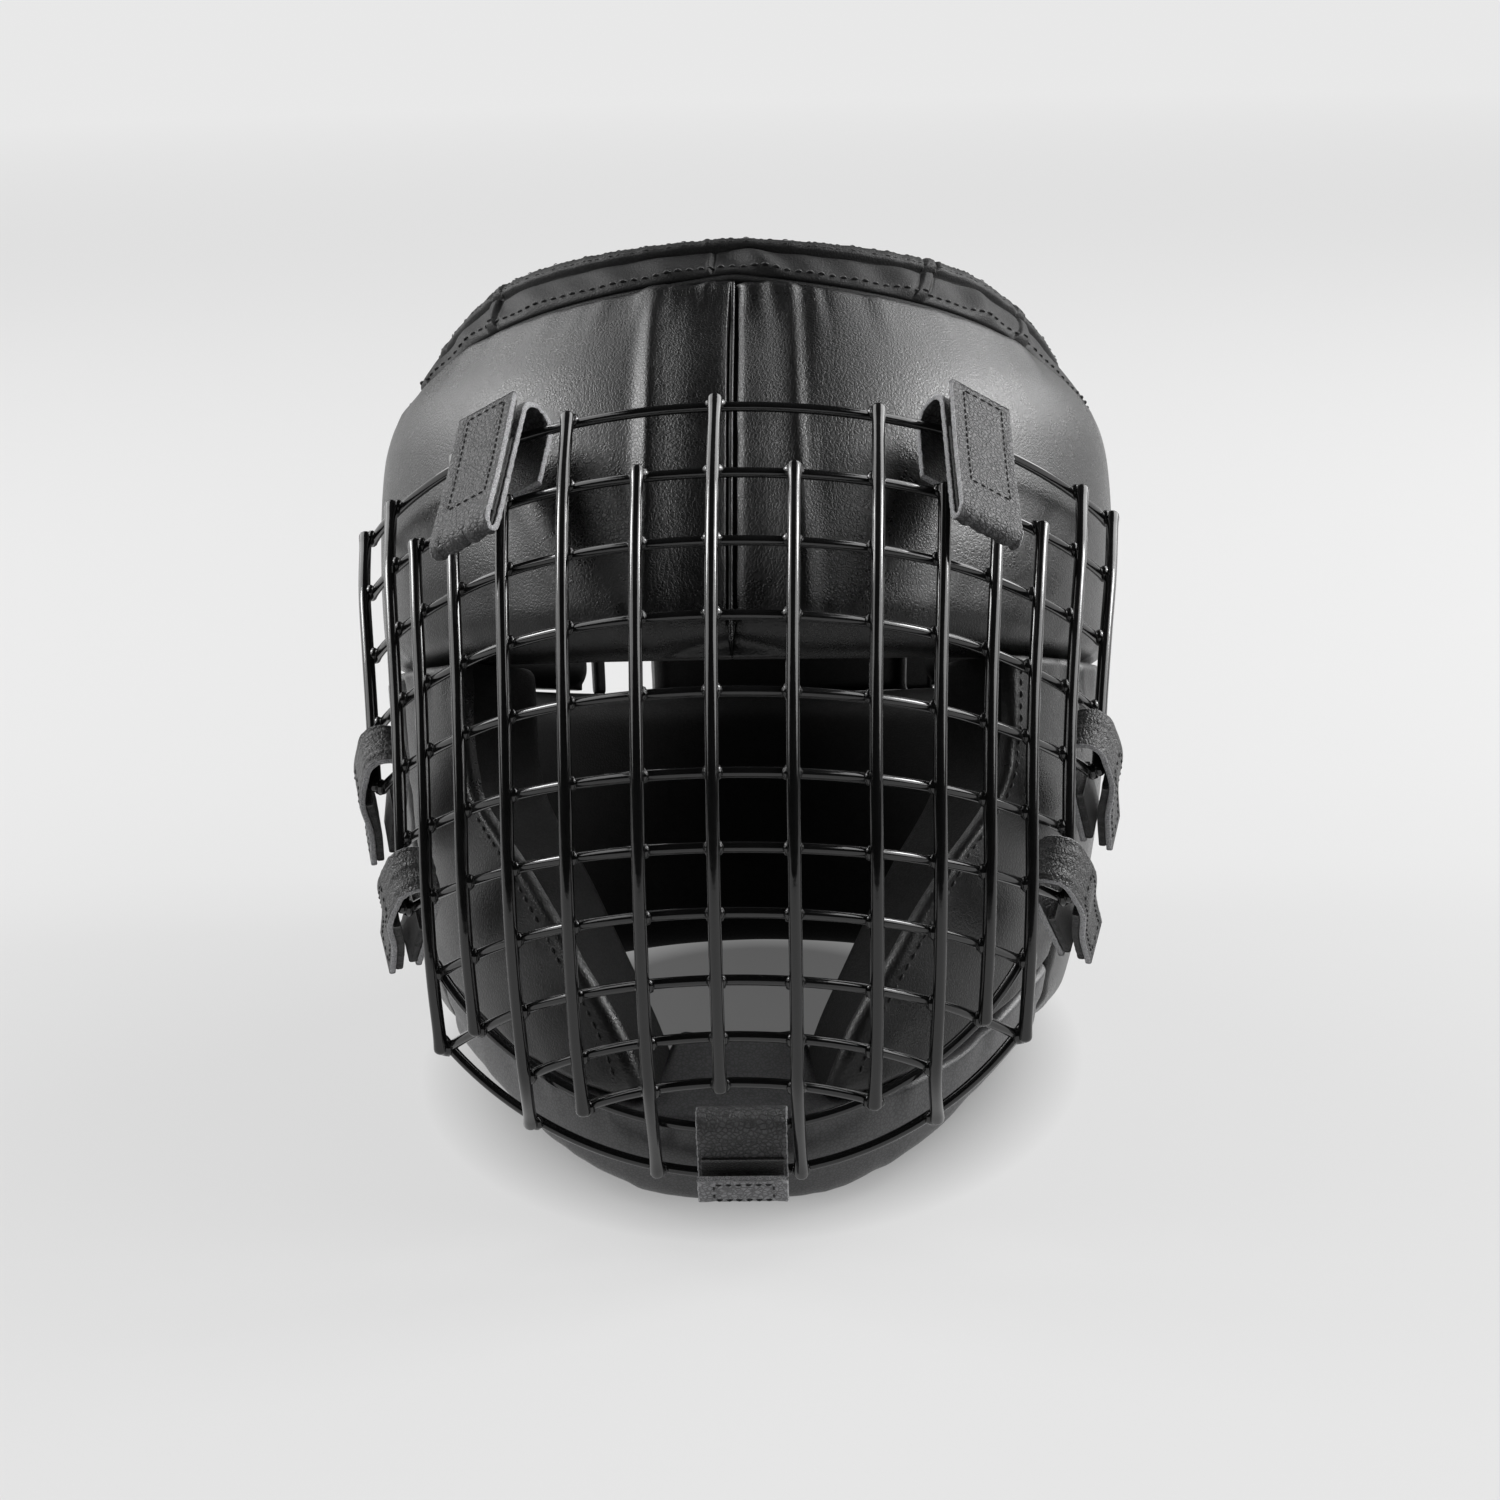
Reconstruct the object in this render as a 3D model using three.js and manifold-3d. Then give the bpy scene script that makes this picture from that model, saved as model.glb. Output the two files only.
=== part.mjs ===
// Padded boxing headgear with a welded wire grille, resting on its chin bar and nape pad.
// Millimetres, +Z up, face towards -Y. The guard is shaped upright and then tipped back.
import * as THREE from 'three';
import Module from 'manifold-3d';

const wasm = await Module();
wasm.setup();

const { cos, sin, hypot, sqrt, abs, min, max, sign, PI } = Math;
const DEGREE = PI / 180;

// Pose on the surface
const TIP_BACK = 18 * DEGREE;
const REST_LIFT = 85;

// Pads
const SEAM_GAP = 0.3;
const CROWN_GAP = 0.9;
const CHIN_GAP = 1.4;
const PAD_THICKNESS = 26;
const CHIN_THICKNESS = 31;
const TAB_THICKNESS = 13;
const BAND_THICKNESS = 10;
const OPEN_EDGE = 11;
const SEWN_EDGE = 3;
const TAB_EDGE = 5;
const EDGE_SHARE = 0.44;
const EDGE_STATION = 0.3;
const SEAM_HALF_ANGLE = 0.15;
const BROW_Z = 28;
const FOREHEAD_END = 143;
const SIDE_START = 63;
const SIDE_END = 121;
const BACK_TOP_Z = 27;
const TAB_START = 151;
const TAB_END = 200;
const VALLEY_DEPTH = 4;
const VALLEY_HALF_WIDTH = 23;
const CHIN_LEDGE = { rise: 13, half_angle: 11, fade: 5 };
const CROWN_CELLS = 44;

// The guard is widest a little behind its middle
const WIDEST_Y = 20;

// The guard's outer skin: half width, reach to the front and back, and squareness of each level
const SKIN = [
  { z: -136, half_width: 56, front: 84, back: 82, square: 2.3 },
  { z: -130, half_width: 62, front: 92, back: 86, square: 2.3 },
  { z: -114, half_width: 77, front: 111, back: 98, square: 2.3 },
  { z: -100, half_width: 84, front: 122, back: 105, square: 2.3 },
  { z: -82, half_width: 91, front: 128, back: 111, square: 2.3 },
  { z: -50, half_width: 101, front: 130, back: 118, square: 2.2 },
  { z: -15, half_width: 108, front: 129, back: 123, square: 2.1 },
  { z: 28, half_width: 112, front: 125, back: 125, square: 2 },
  { z: 60, half_width: 114, front: 117, back: 123, square: 2 },
  { z: 93, half_width: 113, front: 103.5, back: 116, square: 2 },
  { z: 107, half_width: 109, front: 96, back: 109, square: 2 },
  { z: 118, half_width: 102, front: 88, back: 101, square: 2 },
  { z: 136, half_width: 90, front: 73, back: 84, square: 2 },
  { z: 152, half_width: 77, front: 57, back: 62, square: 2 },
  { z: 160, half_width: 69, front: 48, back: 51, square: 2 },
];

// The crown seam above the forehead and the bound edge of the crown, around from the front
const CROWN = [
  { around: 0, seam: 140.5, edge: 152.5 },
  { around: 55, seam: 127, edge: 148 },
  { around: 68, seam: 116, edge: 143.5 },
  { around: 90, seam: 99, edge: 129 },
  { around: 115, seam: 88, edge: 113 },
  { around: 150, seam: 80, edge: 101 },
  { around: 180, seam: 78, edge: 98 },
];

// The crown band's section: share of its height, and share of its thickness below the skin
const CROWN_SECTION = [
  { v: 0, depth: 0.25 },
  { v: 0.4, depth: 0 },
  { v: 0.85, depth: 0.06 },
  { v: 1, depth: 0.45 },
  { v: 0.85, depth: 0.95 },
  { v: 0, depth: 0.9 },
];

// The chin bar's lower and upper edge, around from the front
const CHIN_BAR = [
  { around: 0, low: -131.5, high: -97 },
  { around: 18, low: -126, high: -94 },
  { around: 36, low: -112.5, high: -85 },
  { around: 48, low: -97.5, high: -74 },
  { around: 62.5, low: -83, high: -60 },
];

// The side of the face opening, from the chin up to the brow
const OPENING = [
  { z: -96, around: 13 },
  { z: -81, around: 15.5 },
  { z: -71, around: 18.5 },
  { z: -54, around: 25 },
  { z: -36, around: 32 },
  { z: -15, around: 42 },
  { z: 28, around: 44 },
];

// The lower edge of the side and back pads, around from the front
const HEM = [
  { around: 62, z: -81 },
  { around: 90, z: -75.5 },
  { around: 120, z: -72.5 },
  { around: 150, z: -65.5 },
  { around: 180, z: -62.5 },
];

// Grille
const UPRIGHT_RADIUS = 1.8;
const CROSS_RADIUS = 1.4;
const WELD_DEPTH = 0.5;
const WIRE_SIDES = 5;
const GRILLE_ARC = { radius: 138.3, y: -32.1, z: -12.8 };
const SIDE_RADIUS = 210;
const SIDE_BEND = 50 * DEGREE;
const WIRE_TAIL = 4;
const UPRIGHT_TAIL = 1.5;
const FOOT_LEAN = 0.8;

// Where the uprights stand along a cross wire, from the left end to the right end
const COLUMNS = [
  -153.5, -127.1, -108.5, -86.6, -65, -44.4, -23.2, -3.2, 18, 40.9, 61.3, 81.1, 101.9, 124.2, 147,
];
const MIDDLE_COLUMN = 7;

// The cross wires: place on the centre arc, bend at the front, slope to the back, share of the columns'
// spacing, and outermost upright
const ROWS = [
  { rise: 49.9, bend: 98.7, droop: 15.6, spread: 0.997, reach: 7 },
  { rise: 38.3, bend: 94.4, droop: 14.1, spread: 0.986, reach: 7 },
  { rise: 28.8, bend: 89.7, droop: 14.1, spread: 0.972, reach: 7 },
  { rise: 19.8, bend: 86, droop: 14.5, spread: 0.956, reach: 7 },
  { rise: 11.3, bend: 84.2, droop: 13.5, spread: 0.942, reach: 7 },
  { rise: 2.7, bend: 83.3, droop: 13, spread: 0.934, reach: 6 },
  { rise: -5.1, bend: 82.7, droop: 13.2, spread: 0.933, reach: 6 },
  { rise: -12, bend: 79.9, droop: 17.7, spread: 0.933, reach: 5 },
  { rise: -19.4, bend: 75.8, droop: 20.7, spread: 0.931, reach: 5 },
  { rise: -26, bend: 71, droop: 26.5, spread: 0.929, reach: 3 },
  { rise: -31.8, bend: 66.1, droop: 32.2, spread: 0.921, reach: 2 },
];

// The upright wires on one side of the centre: first and last cross wire, and the rim that the foot meets
const UPRIGHTS = [
  { column: 0, first: 0, last: 10, foot: null },
  { column: 1, first: 1, last: 10, foot: 'outer' },
  { column: 2, first: 0, last: 10, foot: null },
  { column: 3, first: 1, last: 9, foot: 'outer' },
  { column: 4, first: 0, last: 8, foot: null },
  { column: 5, first: 1, last: 8, foot: null },
  { column: 6, first: 0, last: 6, foot: null },
  { column: 7, first: 0, last: 4, foot: null },
];

// The two rim wires under the chin: centre, and the cross wire whose end they meet
const RIMS = {
  inner: { y: -128.5, z: -99.5, row: 7, column: 5, segments: 12 },
  outer: { y: -118, z: -112.5, row: 8, column: 5, segments: 12 },
};

// Straps
const STRAP_THICKNESS = 2.2;
const STRAP_WIDTH = 20;
const SIDE_STRAP_WIDTH = 14.5;
const BEND_STEPS = 6;
const FOLD_STEPS = 4;
const REAR_STRAP = { thickness: 4.4, inset: 6.5, edge: 1 };
const REAR_STRAPS = {
  left: { around: 211.5, width: 5 },
  right: { around: 147.5, width: 12 },
};

// Forehead straps: place along the top wire, how far each leans outward going down,
// then each layer's stand from the wires and its turning places
const TOP_STRAP = {
  column: { left: 3, right: 3.3 },
  lean: { left: 0.115, right: 0.065 },
  slide: { left: 4.5, right: 2 },
  base: -4.5,
  front: 6.6,
  flap: 10,
  root: { along: 20, out: -4.4 },
  bend: { along: -0.5, radius: 6 },
  fold: { along: 43.5, radius: 4 },
  head: -7,
};

// Side straps: the wires they hold, then the layers' stand from the wires and the flap's course
const SIDE_STRAPS = {
  upper: { row: 3, column: 7, drop: 0.73, slant: 30 },
  lower: { row: 5, column: 6, drop: 0.75, slant: 26 },
};
const SIDE_STRAP = {
  base: -5,
  front: 6.2,
  root: { along: 22, out: -7 },
  bend: { along: -4.6, radius: 5.5 },
  flap: [{ along: 8, out: 6.2 }, { along: 20, out: 2.7 }, { along: 36, out: -2.3 }],
};

// Chin strap: shifted to one side of the centre, over the inner rim wire
const CHIN_STRAP = {
  width: 24,
  shift: 1.5,
  base: -4.2,
  front: 3.3,
  root: { along: 3, out: -3.9 },
  bend: { along: -1, radius: 4.2 },
  flap: [{ along: 9, out: 3.4 }, { along: 21, out: 5.5 }],
};

const LEATHER = { color: 0x1d1d1e, roughness: 0.46, metalness: 0 };
const STRAP_LEATHER = { color: 0x242425, roughness: 0.55, metalness: 0 };
const COATED_WIRE = { color: 0x0d0d0e, roughness: 0.28, metalness: 0 };

const clamp01 = (value) => min(1, max(0, value));
const mix = (a, b, t) => a + (b - a) * t;

/** Reads one column of a table at a place along its key column, easing through the rows. */
function along(table, key, place, column) {
  const last = table.length - 1;
  if (place <= table[0][key]) return table[0][column];
  if (place >= table[last][key]) return table[last][column];
  const i = table.findIndex((row) => row[key] > place) - 1;
  const slope = (k) => {
    const before = table[max(0, k - 1)];
    const after = table[min(last, k + 1)];
    return (after[column] - before[column]) / (after[key] - before[key]);
  };
  const span = table[i + 1][key] - table[i][key];
  const t = (place - table[i][key]) / span;
  const start = table[i][column];
  const end = table[i + 1][column];
  const a = (2 * t ** 3 - 3 * t ** 2 + 1) * start + (t ** 3 - 2 * t ** 2 + t) * span * slope(i);
  const b = (3 * t ** 2 - 2 * t ** 3) * end + (t ** 3 - t ** 2) * span * slope(i + 1);
  return a + b;
}

/** A point of the guard's outer skin: angle around from the front in degrees, and height. */
function skinPoint(around, z) {
  const width = along(SKIN, 'z', z, 'half_width');
  const power = 2 / along(SKIN, 'z', z, 'square');
  const s = sin(around * DEGREE);
  const c = cos(around * DEGREE);
  const reach = c > 0 ? along(SKIN, 'z', z, 'front') + WIDEST_Y : along(SKIN, 'z', z, 'back') - WIDEST_Y;
  const y = WIDEST_Y - reach * sign(c) * abs(c) ** power;
  return new THREE.Vector3(width * sign(s) * abs(s) ** power, y, z);
}

/** The skin's outward direction at a place. */
function skinNormal(around, z) {
  const step = 0.5;
  const across = skinPoint(around + step, z).sub(skinPoint(around - step, z));
  const up = skinPoint(around, z + step).sub(skinPoint(around, z - step));
  return across.cross(up).normalize();
}

/** The height of a point of the upright guard over the surface, once it is tipped back. */
function restHeight(point) {
  return -point.y * sin(TIP_BACK) + point.z * cos(TIP_BACK) + REST_LIFT;
}

/** Presses a point that would sink into the surface back up to it. */
function pressedFlat(point) {
  const sunk = max(0, -restHeight(point));
  return point.add(new THREE.Vector3(0, -sin(TIP_BACK) * sunk, cos(TIP_BACK) * sunk));
}

/** A closed geometry from shared points and faces with three or four corners. */
function closedGeometry(points, faces) {
  const geometry = new THREE.BufferGeometry().setFromPoints(points);
  const corners = faces.flatMap((f) => (f.length === 3 ? f : [f[0], f[1], f[2], f[0], f[2], f[3]]));
  geometry.setIndex(corners);
  return geometry;
}

/** Places along an edge of a given length, closer together where its two ends round over. */
function stations(length, startEdge, endEdge, cells) {
  const start = startEdge / length;
  const end = 1 - endEdge / length;
  const places = [0, EDGE_STATION * start];
  for (let i = 0; i <= cells; i += 1) places.push(mix(start, end, i / cells));
  places.push(1 - EDGE_STATION * (1 - end), 1);
  return places;
}

/** How far a rounded edge has dropped at a distance from it. */
function roundedDrop(distance, radius) {
  const a = clamp01(1 - distance / radius);
  return radius * (1 - sqrt(1 - a * a));
}

const flush = () => 0;

/**
 * A padded panel on the skin between its start, end, low and high sides. Its edges round over,
 * relief lowers the outer face and a ledge lifts the inner one, a thickness below it.
 */
function pad({ start, end, low, high, thickness, edges, cells, inset = 0, relief = flush, ledge = flush }) {
  const middle = skinPoint((start(0.5) + end(0.5)) / 2, (low(0) + high(0)) / 2);
  const radius = hypot(middle.x, middle.y);
  const length = (end(0.5) - start(0.5)) * DEGREE * radius;
  const mean = (start(0.5) + end(0.5)) / 2;
  const height = high(mean) - low(mean);
  const across = stations(length, edges.start, edges.end, cells.around);
  const upward = stations(height, edges.low, edges.high, cells.up);
  const place = (u, v, inner) => {
    const around = mix(start(v), end(v), u);
    const z = mix(low(around), high(around), v);
    const dropAcross = max(roundedDrop(u * length, edges.start), roundedDrop((1 - u) * length, edges.end));
    const dropUp = max(roundedDrop(v * height, edges.low), roundedDrop((1 - v) * height, edges.high));
    const drop = min(EDGE_SHARE * thickness, dropAcross + dropUp);
    const depth = inset + (inner ? thickness - drop : drop + relief(around, z));
    const lifted = inner ? z + ledge(around, v) : z;
    return pressedFlat(skinPoint(around, lifted).addScaledVector(skinNormal(around, lifted), -depth));
  };
  return gridSolid(across, upward, place);
}

/** A closed solid between an outer and an inner grid of points. */
function gridSolid(across, upward, place) {
  const columns = across.length;
  const rows = upward.length;
  const points = [];
  for (const inner of [false, true]) {
    for (const v of upward) {
      points.push(...across.map((u) => place(u, v, inner)));
    }
  }
  const outer = (i, j) => j * columns + i;
  const inner = (i, j) => columns * rows + j * columns + i;
  const faces = [];
  const top = rows - 1;
  const end = columns - 1;
  for (let j = 0; j < top; j += 1) {
    for (let i = 0; i < end; i += 1) {
      faces.push([outer(i, j), outer(i + 1, j), outer(i + 1, j + 1), outer(i, j + 1)]);
      faces.push([inner(i, j), inner(i, j + 1), inner(i + 1, j + 1), inner(i + 1, j)]);
    }
  }
  for (let i = 0; i < end; i += 1) {
    faces.push([outer(i + 1, 0), outer(i, 0), inner(i, 0), inner(i + 1, 0)]);
    faces.push([outer(i, top), outer(i + 1, top), inner(i + 1, top), inner(i, top)]);
  }
  for (let j = 0; j < top; j += 1) {
    faces.push([outer(0, j), outer(0, j + 1), inner(0, j + 1), inner(0, j)]);
    faces.push([outer(end, j + 1), outer(end, j), inner(end, j), inner(end, j + 1)]);
  }
  return closedGeometry(points, faces);
}

/** A padded ring that closes on itself, between a low and a high edge. */
function ringPad({ low, high, thickness, section, cells }) {
  const points = [];
  for (let i = 0; i < cells; i += 1) {
    const around = (i * 360) / cells;
    for (const { v, depth } of section) {
      const z = mix(low(around), high(around), v);
      points.push(skinPoint(around, z).addScaledVector(skinNormal(around, z), -depth * thickness));
    }
  }
  const count = section.length;
  const faces = [];
  for (let i = 0; i < cells; i += 1) {
    const next = (i + 1) % cells;
    for (let k = 0; k < count; k += 1) {
      const after = (k + 1) % count;
      faces.push([i * count + k, next * count + k, next * count + after, i * count + after]);
    }
  }
  return closedGeometry(points, faces);
}

/** The angle around from the front, folded to one side. */
const folded = (around) => abs(((around + 540) % 360) - 180);
const crownSeam = (around) => along(CROWN, 'around', folded(around), 'seam');
const crownEdge = (around) => along(CROWN, 'around', folded(around), 'edge');
const hem = (around) => along(HEM, 'around', folded(around), 'z');
const chinLow = (around) => along(CHIN_BAR, 'around', abs(around), 'low');
const chinHigh = (around) => along(CHIN_BAR, 'around', abs(around), 'high');

/** The two soft ridges of the forehead leave a shallow valley over the centre seam. */
function foreheadRelief(around, z) {
  const x = skinPoint(around, z).x;
  return VALLEY_DEPTH * (1 - clamp01(abs(x) / VALLEY_HALF_WIDTH) ** 2);
}

function forehead(side) {
  return pad({
    start: () => side * (side > 0 ? SEAM_HALF_ANGLE : FOREHEAD_END),
    end: () => side * (side > 0 ? FOREHEAD_END : SEAM_HALF_ANGLE),
    low: () => BROW_Z,
    high: (around) => crownSeam(around) - CROWN_GAP,
    thickness: PAD_THICKNESS,
    edges: {
      start: side > 0 ? SEWN_EDGE : OPEN_EDGE,
      end: side > 0 ? OPEN_EDGE : SEWN_EDGE,
      low: OPEN_EDGE,
      high: SEWN_EDGE,
    },
    cells: { around: 9, up: 4 },
    relief: foreheadRelief,
  });
}

function cheek(side) {
  const openingAt = (v) => along(OPENING, 'z', mix(OPENING[0].z, BROW_Z, v), 'around');
  const back = () => SIDE_START - SEAM_HALF_ANGLE;
  return pad({
    start: (v) => (side > 0 ? openingAt(v) : -back()),
    end: (v) => (side > 0 ? back() : -openingAt(v)),
    low: (around) => chinHigh(around) + CHIN_GAP,
    high: () => BROW_Z - SEAM_GAP,
    thickness: PAD_THICKNESS,
    edges: {
      start: side > 0 ? OPEN_EDGE : SEWN_EDGE,
      end: side > 0 ? SEWN_EDGE : OPEN_EDGE,
      low: SEWN_EDGE,
      high: SEWN_EDGE,
    },
    cells: { around: 4, up: 7 },
  });
}

function sidePad(side) {
  return pad({
    start: () => (side > 0 ? SIDE_START + SEAM_HALF_ANGLE : SEAM_HALF_ANGLE - SIDE_END),
    end: () => (side > 0 ? SIDE_END - SEAM_HALF_ANGLE : -SIDE_START - SEAM_HALF_ANGLE),
    low: hem,
    high: () => BROW_Z - SEAM_GAP,
    thickness: PAD_THICKNESS,
    edges: { start: SEWN_EDGE, end: SEWN_EDGE, low: OPEN_EDGE, high: SEWN_EDGE },
    cells: { around: 4, up: 5 },
  });
}

function chinBar() {
  const { rise, half_angle, fade } = CHIN_LEDGE;
  return pad({
    start: () => -(SIDE_START - SEAM_HALF_ANGLE),
    end: () => SIDE_START - SEAM_HALF_ANGLE,
    low: chinLow,
    high: chinHigh,
    thickness: CHIN_THICKNESS,
    edges: { start: SEWN_EDGE, end: SEWN_EDGE, low: OPEN_EDGE, high: SEWN_EDGE },
    cells: { around: 13, up: 2 },
    ledge: (around, v) => rise * v * clamp01((half_angle - abs(around)) / fade),
  });
}

function backPad() {
  return pad({
    start: () => SIDE_END + SEAM_HALF_ANGLE,
    end: () => 360 - SIDE_END - SEAM_HALF_ANGLE,
    low: hem,
    high: () => BACK_TOP_Z,
    thickness: PAD_THICKNESS,
    edges: { start: SEWN_EDGE, end: SEWN_EDGE, low: OPEN_EDGE, high: OPEN_EDGE },
    cells: { around: 10, up: 4 },
  });
}

function backTab() {
  return pad({
    start: () => TAB_START,
    end: () => TAB_END,
    low: () => BACK_TOP_Z + SEAM_GAP,
    high: (around) => crownSeam(around) - SEAM_GAP,
    thickness: TAB_THICKNESS,
    edges: { start: TAB_EDGE, end: TAB_EDGE, low: SEWN_EDGE, high: SEWN_EDGE },
    cells: { around: 4, up: 3 },
  });
}

function rearStrap({ around, width }) {
  const { thickness, inset, edge } = REAR_STRAP;
  const place = skinPoint(around, BACK_TOP_Z);
  const half = width / 2 / hypot(place.x, place.y) / DEGREE;
  return pad({
    start: () => around - half,
    end: () => around + half,
    low: () => BACK_TOP_Z + SEAM_GAP,
    high: (angle) => crownSeam(angle) + CROWN_GAP - SEAM_GAP,
    thickness,
    inset,
    edges: { start: edge, end: edge, low: edge, high: edge },
    cells: { around: 1, up: 2 },
  });
}

function crownBand() {
  return ringPad({
    low: (around) => crownSeam(around) + CROWN_GAP,
    high: crownEdge,
    thickness: BAND_THICKNESS,
    section: CROWN_SECTION,
    cells: CROWN_CELLS,
  });
}

/** The place of a cross wire's middle on the centre arc. */
function rowCentre(row) {
  const angle = ROWS[row].rise * DEGREE;
  const { radius, y, z } = GRILLE_ARC;
  return new THREE.Vector3(0, y - radius * cos(angle), z + radius * sin(angle));
}

/** How far along a cross wire a column stands, also between two columns. */
function columnPlace(column) {
  const i = min(COLUMNS.length - 2, max(0, Math.floor(column + MIDDLE_COLUMN)));
  return mix(COLUMNS[i], COLUMNS[i + 1], column + MIDDLE_COLUMN - i);
}

/** A point of a cross wire, at a column counted from the middle. */
function grillePoint(row, column) {
  const { bend, droop, spread } = ROWS[row];
  const place = columnPlace(column) * spread;
  const s = abs(place);
  const turn = bend * SIDE_BEND;
  const frontAngle = min(s, turn) / bend;
  const sideAngle = SIDE_BEND + max(0, s - turn) / SIDE_RADIUS;
  const beyond = s > turn ? 1 : 0;
  const x = bend * sin(frontAngle) + beyond * SIDE_RADIUS * (sin(sideAngle) - sin(SIDE_BEND));
  const depth = bend * (1 - cos(frontAngle)) + beyond * SIDE_RADIUS * (cos(SIDE_BEND) - cos(sideAngle));
  const slope = droop * DEGREE;
  return rowCentre(row).add(new THREE.Vector3(sign(place) * x, depth * cos(slope), -depth * sin(slope)));
}

/** The grille's outward direction at a crossing. */
function grilleNormal(row, column) {
  const above = max(0, row - 1);
  const below = min(ROWS.length - 1, row + 1);
  const step = 0.2;
  const across = grillePoint(row, column + step).sub(grillePoint(row, column - step));
  const up = grillePoint(above, column).sub(grillePoint(below, column));
  return across.cross(up).normalize();
}

/** A closed wire of a given radius through a row of points. */
function wire(points, radius) {
  const rings = [];
  let side = null;
  points.forEach((point, i) => {
    const before = points[max(0, i - 1)];
    const after = points[min(points.length - 1, i + 1)];
    const ahead = after.clone().sub(before).normalize();
    const sideways = abs(ahead.x) < abs(ahead.z) + abs(ahead.y);
    const reference = side ?? (sideways ? new THREE.Vector3(1, 0, 0) : new THREE.Vector3(0, 1, 0));
    side = reference.clone().addScaledVector(ahead, -reference.dot(ahead)).normalize();
    const other = ahead.clone().cross(side);
    for (let k = 0; k < WIRE_SIDES; k += 1) {
      const angle = (2 * PI * k) / WIRE_SIDES;
      const spoke = side.clone().multiplyScalar(cos(angle)).addScaledVector(other, sin(angle));
      rings.push(point.clone().addScaledVector(spoke, radius));
    }
  });
  const faces = [];
  const last = points.length - 1;
  for (let i = 0; i < last; i += 1) {
    for (let k = 0; k < WIRE_SIDES; k += 1) {
      const next = (k + 1) % WIRE_SIDES;
      const a = i * WIRE_SIDES;
      const b = a + WIRE_SIDES;
      faces.push([a + k, a + next, b + next, b + k]);
    }
  }
  for (let k = 1; k < WIRE_SIDES - 1; k += 1) {
    faces.push([0, k + 1, k]);
    faces.push([last * WIRE_SIDES, last * WIRE_SIDES + k, last * WIRE_SIDES + k + 1]);
  }
  return closedGeometry(rings, faces);
}

/** Carries the ends of a row of points a little further on. */
function withTails(points, startTail, endTail) {
  const first = points[0].clone().sub(points[1]).setLength(startTail).add(points[0]);
  const count = points.length;
  const last = points[count - 1].clone().sub(points[count - 2]).setLength(endTail).add(points[count - 1]);
  return [first, ...points.slice(1, -1), last];
}

function crossWire(row) {
  const { reach } = ROWS[row];
  const points = [];
  for (let column = -reach; column <= reach; column += 1) points.push(grillePoint(row, column));
  return wire(withTails(points, WIRE_TAIL, WIRE_TAIL), CROSS_RADIUS);
}

/** A rim wire's arc on one side: the way it rises, its radius, and its turn from middle to end. */
function rimArc(rim, side) {
  const { y, z, row, column } = RIMS[rim];
  const end = grillePoint(row, side * column);
  const rise = new THREE.Vector3(0, end.y - y, end.z - z);
  const radius = (end.x ** 2 + rise.lengthSq()) / (2 * rise.length());
  return { rise, radius, turn: Math.asin(min(1, abs(end.x) / radius)) };
}

/** A rim wire is an arc on each side, from its middle to the end of a cross wire. */
function rimPoint(rim, t) {
  const { y, z } = RIMS[rim];
  const side = t < 0 ? -1 : 1;
  const { rise, radius, turn } = rimArc(rim, side);
  const angle = turn * abs(t);
  const climb = rise.setLength(radius * (1 - cos(angle)));
  return new THREE.Vector3(side * radius * sin(angle), y, z).add(climb);
}

/** The point of a rim wire at a distance to the side of its middle. */
function rimAside(rim, x) {
  const { radius, turn } = rimArc(rim, x < 0 ? -1 : 1);
  return rimPoint(rim, Math.asin(x / radius) / turn);
}

function rimWire(rim) {
  const points = [];
  const { segments } = RIMS[rim];
  for (let i = 0; i <= segments; i += 1) points.push(rimPoint(rim, (2 * i) / segments - 1));
  return wire(withTails(points, WIRE_TAIL, WIRE_TAIL), CROSS_RADIUS);
}

function uprightWire({ column, first, last, foot }, side) {
  const stand = UPRIGHT_RADIUS + CROSS_RADIUS - WELD_DEPTH;
  const points = [];
  for (let row = first; row <= last; row += 1) {
    const place = grillePoint(row, side * column);
    points.push(place.addScaledVector(grilleNormal(row, side * column), stand));
  }
  if (foot) {
    const [before, end] = points.slice(-2);
    const meets = rimAside(foot, end.x + FOOT_LEAN * (end.x - before.x));
    points.push(meets.addScaledVector(grilleNormal(last, side * column), stand));
  }
  return wire(withTails(points, UPRIGHT_TAIL, UPRIGHT_TAIL), UPRIGHT_RADIUS);
}

/** A closed mesh as a solid that can be joined. */
function solidOf(geometry) {
  const vertProperties = new Float32Array(geometry.attributes.position.array);
  const triVerts = new Uint32Array(geometry.index.array);
  return new wasm.Manifold(new wasm.Mesh({ numProp: 3, vertProperties, triVerts }));
}

function geometryOf(solid) {
  const mesh = solid.getMesh();
  const geometry = new THREE.BufferGeometry();
  geometry.setAttribute('position', new THREE.BufferAttribute(new Float32Array(mesh.vertProperties), 3));
  geometry.setIndex([...mesh.triVerts]);
  return geometry;
}

/** All wires welded into one solid. */
function grille() {
  const wires = ROWS.map((_, row) => crossWire(row));
  wires.push(rimWire('inner'), rimWire('outer'));
  for (const upright of UPRIGHTS) {
    wires.push(uprightWire(upright, 1));
    if (upright.column > 0) wires.push(uprightWire(upright, -1));
  }
  return geometryOf(wires.map(solidOf).reduce((whole, next) => whole.add(next)));
}

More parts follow.
